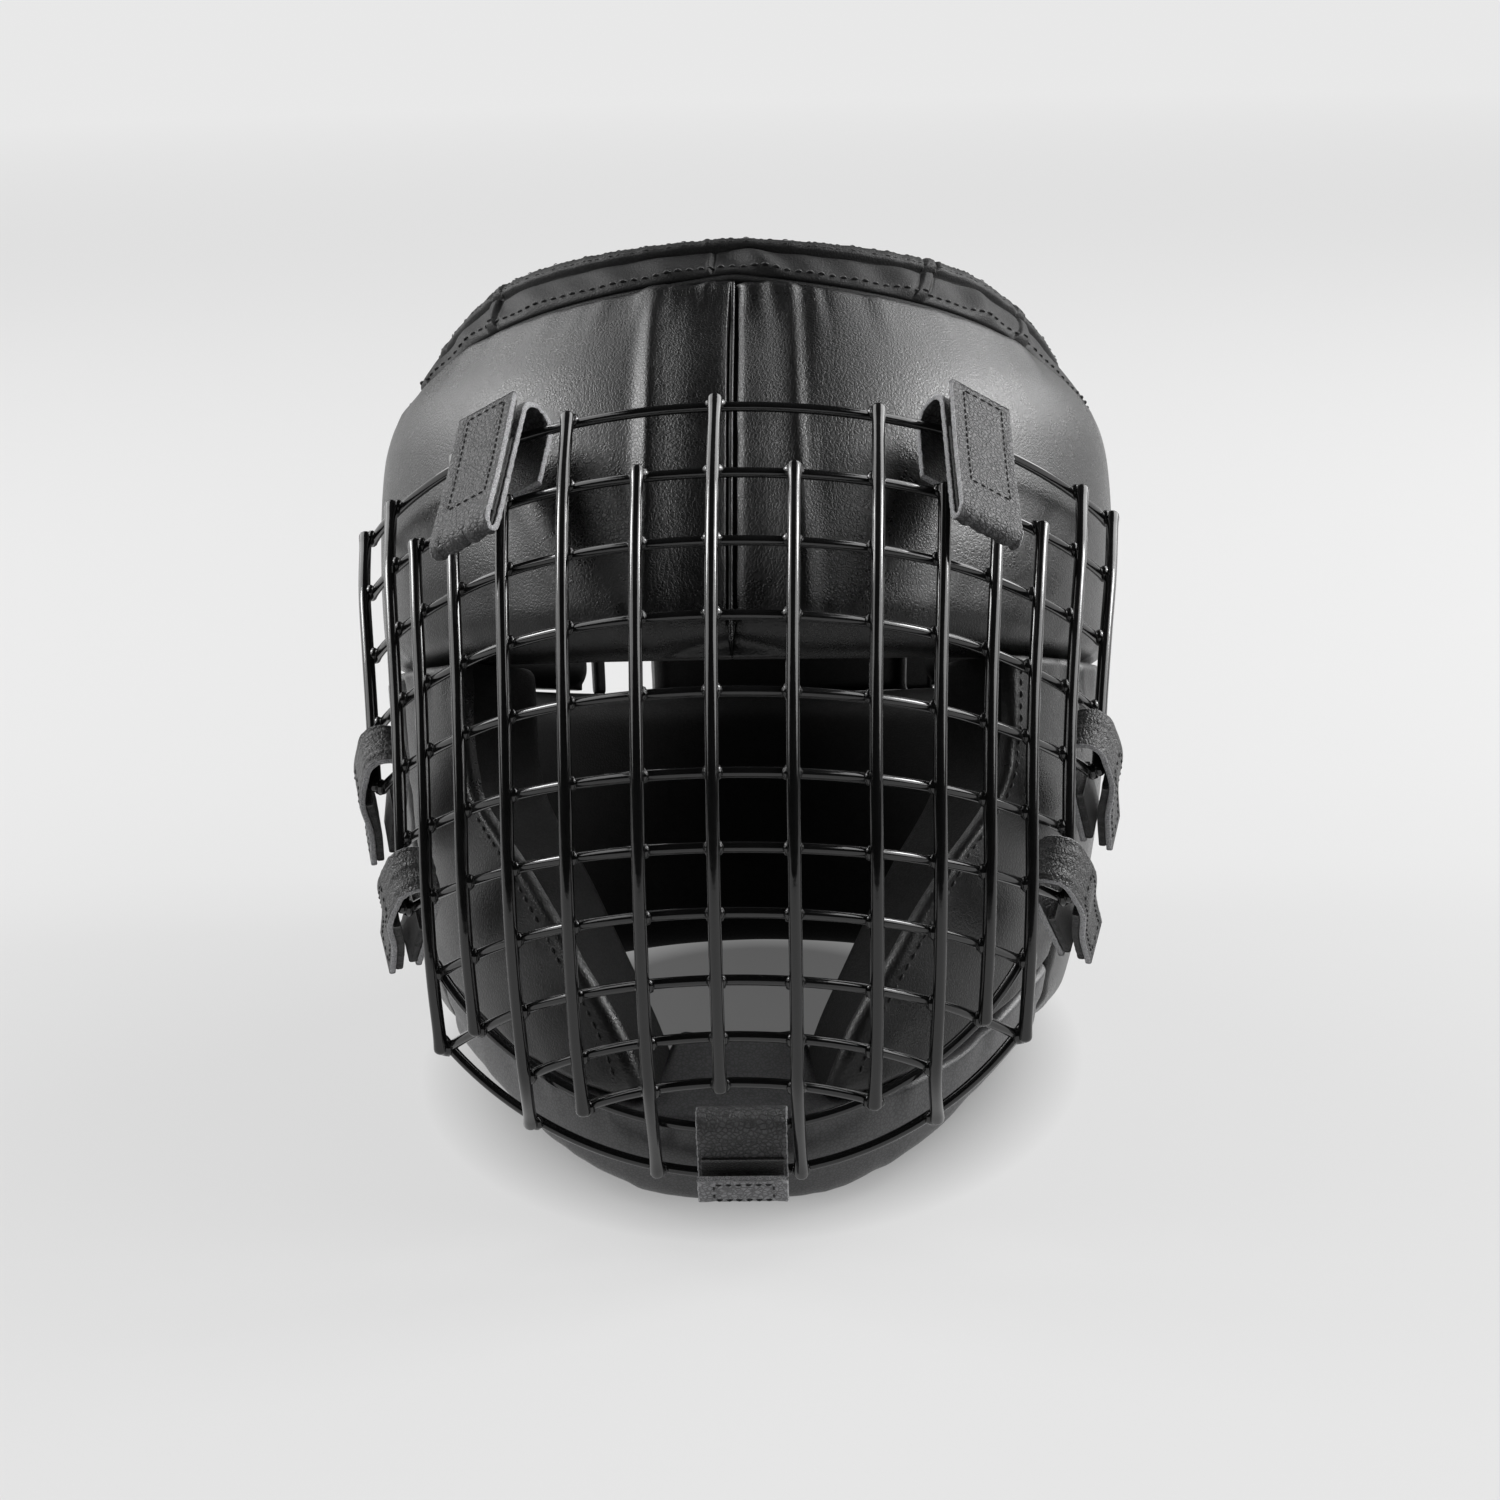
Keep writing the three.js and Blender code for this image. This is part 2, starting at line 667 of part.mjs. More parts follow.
/** A strap of even thickness along a path of { along, out } points, as wide as stated. */
function ribbon(path, width, thickness) {
  const half = thickness / 2;
  const edge = (offset) => path.map((point, i) => {
    const before = path[max(0, i - 1)];
    const after = path[min(path.length - 1, i + 1)];
    const dx = after.along - before.along;
    const dy = after.out - before.out;
    const length = hypot(dx, dy);
    return new THREE.Vector2(point.along - (dy / length) * offset, point.out + (dx / length) * offset);
  });
  const outline = [...edge(half), ...edge(-half).reverse()];
  const shape = new THREE.Shape(outline);
  const geometry = new THREE.ExtrudeGeometry(shape, { depth: width, bevelEnabled: false });
  return geometry.translate(0, 0, -width / 2);
}

/** Sets a strap at a place, with its own directions along, out and across. */
function placed(geometry, origin, alongAxis, outAxis) {
  const along = alongAxis.clone().normalize();
  const across = along.clone().cross(outAxis).normalize();
  const out = across.clone().cross(along);
  const matrix = new THREE.Matrix4().makeBasis(along, out, across).setPosition(origin);
  return geometry.applyMatrix4(matrix);
}

/** Points of an arc from one angle to another, as path points. */
function arcPath(along, out, radiusAlong, radiusOut, from, to, count) {
  const points = [];
  for (let i = 0; i <= count; i += 1) {
    const angle = mix(from, to, i / count) * DEGREE;
    points.push({ along: along + radiusAlong * cos(angle), out: out + radiusOut * sin(angle) });
  }
  return points;
}

/** The hairpin that takes a strap round a wire, from its base layer to its front layer. */
function hairpin({ base, front, bend }) {
  return arcPath(bend.along, (base + front) / 2, bend.radius, (front - base) / 2, 270, 90, BEND_STEPS);
}

/** Forehead strap: up the forehead, over the top wire, down in front, and the flap folded up again. */
function topStrap(side) {
  const { front, flap, root, fold, head } = TOP_STRAP;
  const hand = side > 0 ? 'right' : 'left';
  const column = TOP_STRAP.column[hand];
  const origin = grillePoint(0, side * column);
  const down = grillePoint(1, side * column).sub(origin);
  down.x += side * TOP_STRAP.lean[hand] * down.length();
  const slide = TOP_STRAP.slide[hand];
  const path = [
    root,
    ...hairpin(TOP_STRAP),
    ...arcPath(fold.along + slide, (front + flap) / 2, fold.radius, (flap - front) / 2, -90, 90, FOLD_STEPS),
    { along: head + slide, out: flap },
  ];
  const normal = grilleNormal(0, side * column);
  return placed(ribbon(path, STRAP_WIDTH, STRAP_THICKNESS), origin, down, normal);
}

/** Side strap: forward from the side pad, round an upright and back along the outside. */
function sideStrap(level, side) {
  const { row, column, drop, slant } = SIDE_STRAPS[level];
  const above = grillePoint(row, side * column);
  const below = grillePoint(row + 1, side * column);
  const origin = above.clone().lerp(below, drop);
  const backward = grillePoint(row, side * (column + 0.5)).sub(above).normalize();
  const down = below.sub(above).normalize();
  const turn = slant * DEGREE;
  const direction = backward.multiplyScalar(cos(turn)).addScaledVector(down, sin(turn));
  const path = [SIDE_STRAP.root, ...hairpin(SIDE_STRAP), ...SIDE_STRAP.flap];
  const normal = grilleNormal(row, side * column);
  return placed(ribbon(path, SIDE_STRAP_WIDTH, STRAP_THICKNESS), origin, direction, normal);
}

/** Chin strap: out from the chin bar, over the inner rim wire, and down in front of both. */
function chinStrap() {
  const { width, shift, root, flap } = CHIN_STRAP;
  const upper = rimPoint('inner', 0);
  const down = rimPoint('outer', 0).sub(upper);
  const origin = upper.clone().setX(shift);
  const normal = down.clone().cross(new THREE.Vector3(1, 0, 0));
  const path = [root, ...hairpin(CHIN_STRAP), ...flap];
  return placed(ribbon(path, width, STRAP_THICKNESS), origin, down, normal);
}

const SIDES = { left: -1, right: 1 };

function piece(name, geometry, finish) {
  geometry.computeVertexNormals();
  const mesh = new THREE.Mesh(geometry, new THREE.MeshStandardMaterial(finish));
  mesh.name = name;
  return mesh;
}

const guard = new THREE.Group();
for (const [name, side] of Object.entries(SIDES)) {
  guard.add(piece(`forehead_${name}`, forehead(side), LEATHER));
  guard.add(piece(`cheek_${name}`, cheek(side), LEATHER));
  guard.add(piece(`side_${name}`, sidePad(side), LEATHER));
  guard.add(piece(`rear_strap_${name}`, rearStrap(REAR_STRAPS[name]), STRAP_LEATHER));
}
guard.add(piece('crown_band', crownBand(), LEATHER));
guard.add(piece('chin_bar', chinBar(), LEATHER));
guard.add(piece('back_pad', backPad(), LEATHER));
guard.add(piece('back_tab', backTab(), LEATHER));

const cage = new THREE.Group();
cage.add(piece('grille', grille(), COATED_WIRE));
for (const [name, side] of Object.entries(SIDES)) {
  cage.add(piece(`top_strap_${name}`, topStrap(side), STRAP_LEATHER));
  for (const level of Object.keys(SIDE_STRAPS)) {
    cage.add(piece(`side_strap_${level}_${name}`, sideStrap(level, side), STRAP_LEATHER));
  }
}
cage.add(piece('chin_strap', chinStrap(), STRAP_LEATHER));

const headgear = new THREE.Group();
headgear.add(guard, cage);
headgear.rotation.x = -TIP_BACK;
headgear.updateMatrixWorld(true);
const box = new THREE.Box3().setFromObject(headgear, true);
const middle = box.getCenter(new THREE.Vector3());
headgear.position.set(-middle.x, -middle.y, -box.min.z);

const part = new THREE.Group();
part.add(headgear);

export default part;
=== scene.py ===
"""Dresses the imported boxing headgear: a padded guard, its wire grille and the straps that hold it."""

import logging
from dataclasses import dataclass, field
from enum import Enum, IntEnum
from functools import partial
from typing import Callable, NamedTuple

import bpy
import numpy as np
from bpy.types import Material, Node, NodeSocket, NodeTree, Object
from mathutils import Matrix, Vector


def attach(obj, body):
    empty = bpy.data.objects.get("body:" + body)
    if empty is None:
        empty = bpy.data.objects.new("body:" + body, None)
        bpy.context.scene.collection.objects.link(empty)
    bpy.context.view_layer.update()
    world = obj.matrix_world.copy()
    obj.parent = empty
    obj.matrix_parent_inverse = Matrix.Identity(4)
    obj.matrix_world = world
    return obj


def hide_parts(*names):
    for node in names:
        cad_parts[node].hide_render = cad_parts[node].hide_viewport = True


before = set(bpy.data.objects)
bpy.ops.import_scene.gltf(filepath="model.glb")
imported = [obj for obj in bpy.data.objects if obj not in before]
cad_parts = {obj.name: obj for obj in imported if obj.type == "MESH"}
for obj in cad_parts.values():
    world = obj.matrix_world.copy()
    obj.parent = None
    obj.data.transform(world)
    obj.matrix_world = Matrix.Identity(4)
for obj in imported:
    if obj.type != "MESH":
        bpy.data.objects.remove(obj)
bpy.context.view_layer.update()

LOG = logging.getLogger("headgear")
MM = 0.001
BODY = "root"

Array = np.ndarray
Edge = Callable[[Array], Array]
Pair = tuple[float, float]
Point = tuple[float, float, float]
Colour = tuple[float, float, float, float]


class Side(IntEnum):
    """The two sides of the guard as the camera sees them, valued by the sign of X."""

    LEFT = -1
    RIGHT = 1

    @property
    def word(self) -> str:
        """The side's word in the name of a piece."""
        return self.name.lower()


class Slot(Enum):
    """The record's material slots."""

    LEATHER = "leather"
    STRAP = "strap_leather"
    WIRE = "coated_wire"


def eased(places: Array, keys: Array, values: Array) -> Array:
    """Reads a table at places along its key column with a cubic curve through its rows.

    The slope at a row is the difference between its neighbours over their distance, and a place
    past the first or last row takes that row's value.

    Args:
        places: Where to read, of any shape.
        keys: The key column, rising.
        values: The column that is read, one value or point a row.

    Returns:
        The values at the places.
    """
    keys = np.asarray(keys, float)
    values = np.asarray(values, float)
    columns = (slice(None),) + (None,) * (values.ndim - 1)
    slopes = np.gradient(values, axis=0)
    slopes[1:-1] = (values[2:] - values[:-2]) / (keys[2:] - keys[:-2])[columns]
    slopes[0] = (values[1] - values[0]) / (keys[1] - keys[0])
    slopes[-1] = (values[-1] - values[-2]) / (keys[-1] - keys[-2])
    at = np.clip(np.asarray(places, float), keys[0], keys[-1])
    row = np.clip(np.searchsorted(keys, at, side="right") - 1, 0, len(keys) - 2)
    span = keys[row + 1] - keys[row]
    t = (at - keys[row]) / span
    wide = (...,) + (None,) * (values.ndim - 1)
    t, span = t[wide], span[wide]
    start = (2 * t**3 - 3 * t**2 + 1) * values[row] + (t**3 - 2 * t**2 + t) * span * slopes[row]
    end = (3 * t**2 - 2 * t**3) * values[row + 1] + (t**3 - t**2) * span * slopes[row + 1]
    return start + end


def unit(vectors: Array) -> Array:
    """The vectors at length one."""
    return vectors / np.maximum(np.linalg.norm(vectors, axis=-1, keepdims=True), 1e-12)


def distances_along(path: Array) -> Array:
    """Distances along a path at its points."""
    return np.concatenate([[0], np.cumsum(np.linalg.norm(np.diff(path, axis=0), axis=1))])


def waves(places: Array, lengths: tuple[float, ...], seed: int) -> Array:
    """Uneven ripples along a line: a sum of sines of the given wave lengths with seeded phases.

    Args:
        places: Distances along the line, in the unit of the wave lengths.
        lengths: The wave lengths.
        seed: Picks the phases.

    Returns:
        Heights from about -1 to 1.
    """
    phases = np.random.default_rng(seed).uniform(0, 2 * np.pi, len(lengths))
    turns = 2 * np.pi * np.asarray(places)[..., None] / np.array(lengths) + phases
    return np.sin(turns).sum(-1) / np.sqrt(len(lengths))


class SkinLevel(NamedTuple):
    """One level of the guard's outer skin, in millimetres of the upright guard."""

    z: float
    half_width: float
    front: float
    back: float
    square: float


class CrownRow(NamedTuple):
    """Heights of the crown seam and of the crown's bound edge, at an angle around from the front."""

    around: float
    seam: float
    edge: float


class ChinRow(NamedTuple):
    """Heights of the chin bar's two edges, at an angle around from the front."""

    around: float
    low: float
    high: float


class Place(NamedTuple):
    """A place on the skin: angle around from the front, and height."""

    around: float
    z: float


@dataclass(frozen=True)
class GuardForm:
    """The upright guard's outer skin and edge lines, and how it is tipped back and set down."""

    tip_back: float = 18.0
    set_down: Point = (0.0, 19.163, 85.0)
    widest_y: float = 20.0
    brow: float = 28.0
    levels: tuple[SkinLevel, ...] = (
        SkinLevel(-136, 56, 84, 82, 2.3),
        SkinLevel(-130, 62, 92, 86, 2.3),
        SkinLevel(-114, 77, 111, 98, 2.3),
        SkinLevel(-100, 84, 122, 105, 2.3),
        SkinLevel(-82, 91, 128, 111, 2.3),
        SkinLevel(-50, 101, 130, 118, 2.2),
        SkinLevel(-15, 108, 129, 123, 2.1),
        SkinLevel(28, 112, 125, 125, 2),
        SkinLevel(60, 114, 117, 123, 2),
        SkinLevel(93, 113, 103.5, 116, 2),
        SkinLevel(107, 109, 96, 109, 2),
        SkinLevel(118, 102, 88, 101, 2),
        SkinLevel(136, 90, 73, 84, 2),
        SkinLevel(152, 77, 57, 62, 2),
        SkinLevel(160, 69, 48, 51, 2),
    )
    crown: tuple[CrownRow, ...] = (
        CrownRow(0, 140.5, 152.5),
        CrownRow(55, 127, 148),
        CrownRow(68, 116, 143.5),
        CrownRow(90, 99, 129),
        CrownRow(115, 88, 113),
        CrownRow(150, 80, 101),
        CrownRow(180, 78, 98),
    )
    chin: tuple[ChinRow, ...] = (
        ChinRow(0, -131.5, -97),
        ChinRow(18, -126, -94),
        ChinRow(36, -112.5, -85),
        ChinRow(48, -97.5, -74),
        ChinRow(62.5, -83, -60),
    )
    opening_side: tuple[Place, ...] = (
        Place(13, -96),
        Place(15.5, -81),
        Place(18.5, -71),
        Place(25, -54),
        Place(32, -36),
        Place(42, -15),
        Place(44, 28),
    )
    hem_line: tuple[Place, ...] = (
        Place(62, -81),
        Place(90, -75.5),
        Place(120, -72.5),
        Place(150, -65.5),
        Place(180, -62.5),
    )

    def skin(self, around: Array, z: Array) -> Array:
        """Points of the skin: each level is a rounded oval, x = width sin^p and y = middle - reach cos^p.

        Args:
            around: Angles around from the front, in degrees.
            z: Heights.

        Returns:
            Points of the upright guard, in millimetres.
        """
        rows = np.array(self.levels)
        width, front, back, square = (eased(z, rows[:, 0], rows[:, k]) for k in range(1, 5))
        s, c = np.sin(np.radians(around)), np.cos(np.radians(around))
        reach = np.where(c > 0, front + self.widest_y, back - self.widest_y)
        x = width * np.sign(s) * np.abs(s) ** (2 / square)
        y = self.widest_y - reach * np.sign(c) * np.abs(c) ** (2 / square)
        return np.stack(np.broadcast_arrays(x, y, z), -1)

    def outward(self, around: Array, z: Array) -> Array:
        """The skin's outward directions: the cross product of its steps around and upward."""
        step = 0.5
        across = self.skin(around + step, z) - self.skin(around - step, z)
        return unit(np.cross(across, self.skin(around, z + step) - self.skin(around, z - step)))

    def below(self, around: Array, z: Array, depth: Array) -> Array:
        """Points at a depth below the skin."""
        return self.skin(around, z) - self.outward(around, z) * np.asarray(depth)[..., None]

    def tipped(self, vectors: Array) -> Array:
        """Directions of the upright guard as they lie once it is tipped back."""
        c, s = np.cos(np.radians(self.tip_back)), np.sin(np.radians(self.tip_back))
        x, y, z = np.moveaxis(vectors, -1, 0)
        return np.stack([x, y * c + z * s, z * c - y * s], -1)

    def set(self, points: Array) -> Array:
        """Points of the upright guard as they come to lie on the surface, in metres."""
        laid = self.tipped(points) + np.array(self.set_down)
        laid[..., 2] = np.maximum(laid[..., 2], 0)
        return laid * MM

    @staticmethod
    def column(rows: tuple[NamedTuple, ...], number: int) -> tuple[Array, Array]:
        """A table's first column and one of its others."""
        table = np.array(rows)
        return table[:, 0], table[:, number]

    @staticmethod
    def folded(around: Array) -> Array:
        """Angles around from the front, folded to one side."""
        return np.abs((np.asarray(around, float) + 540) % 360 - 180)

    def crown_seam(self, around: Array) -> Array:
        """Heights of the seam between forehead and crown."""
        return eased(self.folded(around), *self.column(self.crown, 1))

    def crown_edge(self, around: Array) -> Array:
        """Heights of the crown's bound edge."""
        return eased(self.folded(around), *self.column(self.crown, 2))

    def hem(self, around: Array) -> Array:
        """Heights of the lower edge of the side and back pads."""
        return eased(self.folded(around), *self.column(self.hem_line, 1))

    def chin_low(self, around: Array) -> Array:
        """Heights of the chin bar's lower edge."""
        return eased(np.abs(around), *self.column(self.chin, 1))

    def chin_high(self, around: Array) -> Array:
        """Heights of the chin bar's upper edge."""
        return eased(np.abs(around), *self.column(self.chin, 2))

    def opening(self, share: Array) -> Array:
        """Angles of the face opening's side, at shares of the way from the chin up to the brow."""
        rows = np.array(self.opening_side)
        heights = rows[0, 1] + (self.brow - rows[0, 1]) * np.asarray(share)
        return eased(heights, rows[:, 1], rows[:, 0])


GUARD = GuardForm()


@dataclass
class Shape:
    """A mesh in the making, in metres of the row frame, with a finish number for each face."""

    points: Array
    quads: Array
    triangles: Array = field(default_factory=lambda: np.zeros((0, 3), int))
    finish: Array | None = None
    edge: Array | None = None

    def __post_init__(self) -> None:
        """Fills in nought where no finish number or no nearness to an edge was given."""
        if self.finish is None:
            self.finish = np.zeros(len(self.quads) + len(self.triangles), int)
        if self.edge is None:
            self.edge = np.zeros(len(self.points))

    @staticmethod
    def joined(shapes: list["Shape"]) -> "Shape":
        """Several shapes as one.

        Args:
            shapes: The shapes, which stay as they are.

        Returns:
            One shape with all their points and faces.
        """
        starts = np.cumsum([0] + [len(s.points) for s in shapes[:-1]])
        quad_finish = [s.finish[: len(s.quads)] for s in shapes]
        triangle_finish = [s.finish[len(s.quads):] for s in shapes]
        return Shape(
            np.concatenate([s.points for s in shapes]),
            np.concatenate([s.quads + k for s, k in zip(shapes, starts)]),
            np.concatenate([s.triangles + k for s, k in zip(shapes, starts)]),
            np.concatenate(quad_finish + triangle_finish),
            np.concatenate([s.edge for s in shapes]),
        )

    def piece(self, name: str, materials: list[Material]) -> Object:
        """Makes the mesh object, smooth shaded, with its edge attribute and finishes.

        Args:
            name: The piece's name.
            materials: The materials that the finish numbers count through.

        Returns:
            The object, at the origin.
        """
        mesh = bpy.data.meshes.new(name)
        mesh.from_pydata(self.points.tolist(), [], self.quads.tolist() + self.triangles.tolist())
        for material in materials:
            mesh.materials.append(material)
        mesh.polygons.foreach_set("material_index", self.finish.astype(np.int32))
        mesh.polygons.foreach_set("use_smooth", np.ones(len(mesh.polygons), bool))
        edge = mesh.attributes.new("edge", "FLOAT", "POINT")
        edge.data.foreach_set("value", self.edge.astype(np.float32))
        mesh.update()
        piece = bpy.data.objects.new(name, mesh)
        bpy.context.scene.collection.objects.link(piece)
        return piece


def smoothed(piece: Object) -> Object:
    """Adds one live subdivision to a piece."""
    modifier = piece.modifiers.new("smooth", "SUBSURF")
    modifier.levels = modifier.render_levels = 1
    return piece


def grid_quads(rows: int, columns: int, closed_rows: bool = False, closed_columns: bool = False) -> Array:
    """Quads of a grid whose points run along each row in turn.

    Args:
        rows: Number of rows of points.
        columns: Number of points in a row.
        closed_rows: Whether the last row joins the first.
        closed_columns: Whether each row's last point joins its first.

    Returns:
        Point numbers, four a face, turning left seen from where columns run right and rows up.
    """
    j, i = np.meshgrid(
        np.arange(rows if closed_rows else rows - 1),
        np.arange(columns if closed_columns else columns - 1),
        indexing="ij",
    )
    up, right = (j + 1) % rows, (i + 1) % columns
    corners = [j * columns + i, j * columns + right, up * columns + right, up * columns + i]
    return np.stack([c.ravel() for c in corners], -1)


def rod(
    path: Array,
    radius: float,
    reference: Point,
    step: float,
    sides: int,
    swell: float = 0.0,
) -> Shape:
    """A round rod along a path, with ends that swell a little and close in a dome.

    Args:
        path: Points of the upright guard along the rod's middle.
        radius: The rod's radius.
        reference: A direction that the rod never runs along.
        step: Distance between its rings.
        sides: Points in a ring.
        swell: By how much of its radius each end swells.

    Returns:
        The closed rod.
    """
    travelled = distances_along(path)
    length = travelled[-1]
    dome = radius * (1 - np.cos(np.radians([25, 50, 70, 90])))
    even = np.linspace(dome[-1], length - dome[-1], max(4, int(length / step)))
    at = np.concatenate([dome[:-1], even, (length - dome[:-1])[::-1]])
    middle = eased(at, travelled, path)
    ahead = unit(np.gradient(middle, at, axis=0))
    side = unit(np.array(reference) - ahead * (ahead @ np.array(reference))[:, None])
    other = np.cross(ahead, side)
    near = np.minimum(at, length - at)
    rounded = np.sqrt(np.clip(1 - (1 - np.minimum(near / radius, 1)) ** 2, 0, 1))
    thick = radius * rounded * (1 + swell * np.exp(-((near / (2.2 * radius)) ** 2)))
    turn = np.linspace(0, 2 * np.pi, sides, endpoint=False)
    spoke = side[:, None] * np.cos(turn)[:, None] + other[:, None] * np.sin(turn)[:, None]
    rings = middle[:, None] + spoke * thick[:, None, None]
    count = len(at) * sides
    points = np.concatenate([rings.reshape(-1, 3), eased(np.array([0, length]), travelled, path)])
    first = np.arange(sides)
    last = first + count - sides
    caps = [
        np.stack([np.full(sides, count), np.roll(first, -1), first], -1),
        np.stack([np.full(sides, count + 1), last, np.roll(last, -1)], -1),
    ]
    return Shape(GUARD.set(points), grid_quads(len(at), sides, closed_columns=True), np.concatenate(caps))


@dataclass(frozen=True)
class Face:
    """A finished grid face that stitches and trims are laid on, addressed by shares across and up."""

    points: Array
    across: Array
    upward: Array

    def at(self, u: Array, v: Array) -> Array:
        """Points of the face: the four grid points around a place, weighed by how near they are.

        Args:
            u: Shares across.
            v: Shares up.

        Returns:
            The points, in metres.
        """
        i = np.clip(np.searchsorted(self.across, u, side="right") - 1, 0, len(self.across) - 2)
        j = np.clip(np.searchsorted(self.upward, v, side="right") - 1, 0, len(self.upward) - 2)
        s = ((u - self.across[i]) / (self.across[i + 1] - self.across[i]))[..., None]
        t = ((v - self.upward[j]) / (self.upward[j + 1] - self.upward[j]))[..., None]
        low = self.points[j, i] * (1 - s) + self.points[j, i + 1] * s
        high = self.points[j + 1, i] * (1 - s) + self.points[j + 1, i + 1] * s
        return low * (1 - t) + high * t

    def normal(self, u: Array, v: Array) -> Array:
        """Outward directions of the face: the cross product of short steps across and up."""
        step = 0.01
        across = self.at(np.minimum(u + step, 1), v) - self.at(np.maximum(u - step, 0), v)
        upward = self.at(u, np.minimum(v + step, 1)) - self.at(u, np.maximum(v - step, 0))
        return unit(np.cross(across, upward))


@dataclass(frozen=True)
class Stitching:
    """A row of thread stitches: short arched capsules whose ends dive into what they are sewn through."""

    pitch: float = 3.3
    length: float = 2.5
    radius: float = 0.36
    lift: float = 0.34
    sink: float = 0.3
    rings: int = 5
    sides: int = 6

    def row(self, line: Array, normals: Array) -> Shape:
        """Lays stitches at an even pitch along a line on a surface.

        A stitch at t from -1 to 1 along its length rises by lift (1 - t^2) - sink, and its
        radius shrinks to the ends as the square root of 1 - 0.9 t^2.

        Args:
            line: Points along the line, in metres.
            normals: The surface's outward directions there.

        Returns:
            The stitches as one shape.
        """
        travelled = distances_along(line)
        count = max(1, int(travelled[-1] / (self.pitch * MM)))
        centres = (np.arange(count) + 0.5) * travelled[-1] / count
        middle, out, ahead = (
            np.stack([np.interp(centres, travelled, column) for column in values.T], -1)
            for values in (line, normals, np.gradient(line, axis=0))
        )
        out, ahead = unit(out), unit(ahead)
        side = unit(np.cross(ahead, out))
        t = np.linspace(-1, 1, self.rings)
        turn = np.linspace(0, 2 * np.pi, self.sides, endpoint=False)
        spine = (
            middle[:, None]
            + ahead[:, None] * (t * self.length / 2 * MM)[:, None]
            + out[:, None] * ((self.lift * (1 - t**2) - self.sink * t**2) * MM)[:, None]
        )
        spoke = side[:, None] * np.cos(turn)[:, None] + out[:, None] * np.sin(turn)[:, None]
        thick = np.sqrt(1 - 0.9 * t**2) * self.radius * MM
        points = spine[:, :, None] + spoke[:, None] * thick[:, None, None]
        body = grid_quads(self.rings, self.sides, closed_columns=True)[:, ::-1]
        last = (self.rings - 1) * self.sides
        caps = np.array([[0, 1, 2, 3], [0, 3, 4, 5]])
        faces = np.concatenate([body, caps, caps[:, ::-1] + last])
        steps = np.arange(count) * self.rings * self.sides
        return Shape(points.reshape(-1, 3), (faces[None] + steps[:, None, None]).reshape(-1, 4))


SEWING = Stitching()


def stitched(name: str, shape: Shape, thread: Material) -> Object:
    """Makes a piece of all the stitches in one part of the guard.

    Args:
        name: The piece's name.
        shape: The stitches.
        thread: Their material.

    Returns:
        The piece.
    """
    piece = shape.piece(name, [thread])
    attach(piece, BODY)
    LOG.info("%s: %d points", name, len(shape.points))
    return piece


@dataclass(frozen=True)
class Rounding:
    """Radii at which a panel's four sides round over, in millimetres."""

    start: float
    end: float
    low: float
    high: float


@dataclass(frozen=True)
class Filling:
    """How a pad is puffed up as cloth: pressure in it, spare leather, and the most a point may move."""

    pressure: float = 2.0
    spare: float = 0.0
    most: float = 6.0
    frames: int = 20
    fill: float = 0.8

    def puffed(self, shape: Shape, held: Array) -> Array:
        """Runs Blender's cloth on a closed shape with some points held.

        Args:
            shape: The closed shape.
            held: How firmly each point is held, from 0 to 1.

        Returns:
            The shape's points once puffed, none of them moved further than the most.
        """
        piece = shape.piece("puff", [])
        group = piece.vertex_groups.new(name="held")
        for firmness in np.unique(np.round(held, 1)):
            points = np.flatnonzero(np.round(held, 1) == firmness)
            group.add(points.tolist(), float(firmness), "REPLACE")
        cloth = piece.modifiers.new("puff", "CLOTH")
        cloth.settings.quality = 6
        cloth.settings.mass = 0.25
        cloth.settings.tension_stiffness = 18
        cloth.settings.compression_stiffness = 12
        cloth.settings.shear_stiffness = 6
        cloth.settings.bending_stiffness = 0.4
        cloth.settings.vertex_group_mass = group.name
        cloth.settings.use_pressure = True
        cloth.settings.uniform_pressure_force = self.pressure
        cloth.settings.shrink_min = -self.spare
        cloth.settings.effector_weights.gravity = 0
        scene = bpy.context.scene
        for step in range(1, self.frames + 1):
            scene.frame_set(step)
        count = len(piece.data.vertices)
        after = np.empty(count * 3, np.float32)
        piece.evaluated_get(bpy.context.evaluated_depsgraph_get()).data.vertices.foreach_get("co", after)
        mesh = piece.data
        bpy.data.objects.remove(piece)
        bpy.data.meshes.remove(mesh)
        scene.frame_set(1)
        move = after.reshape(-1, 3).astype(float) - shape.points
        far = np.linalg.norm(move, axis=1, keepdims=True)
        return shape.points + move * np.minimum(1, self.most * MM / np.maximum(far, 1e-9))


class Finish(IntEnum):
    """Finish numbers of a padded piece's faces."""

    LEATHER = 0
    LINING = 1
    THREAD = 2


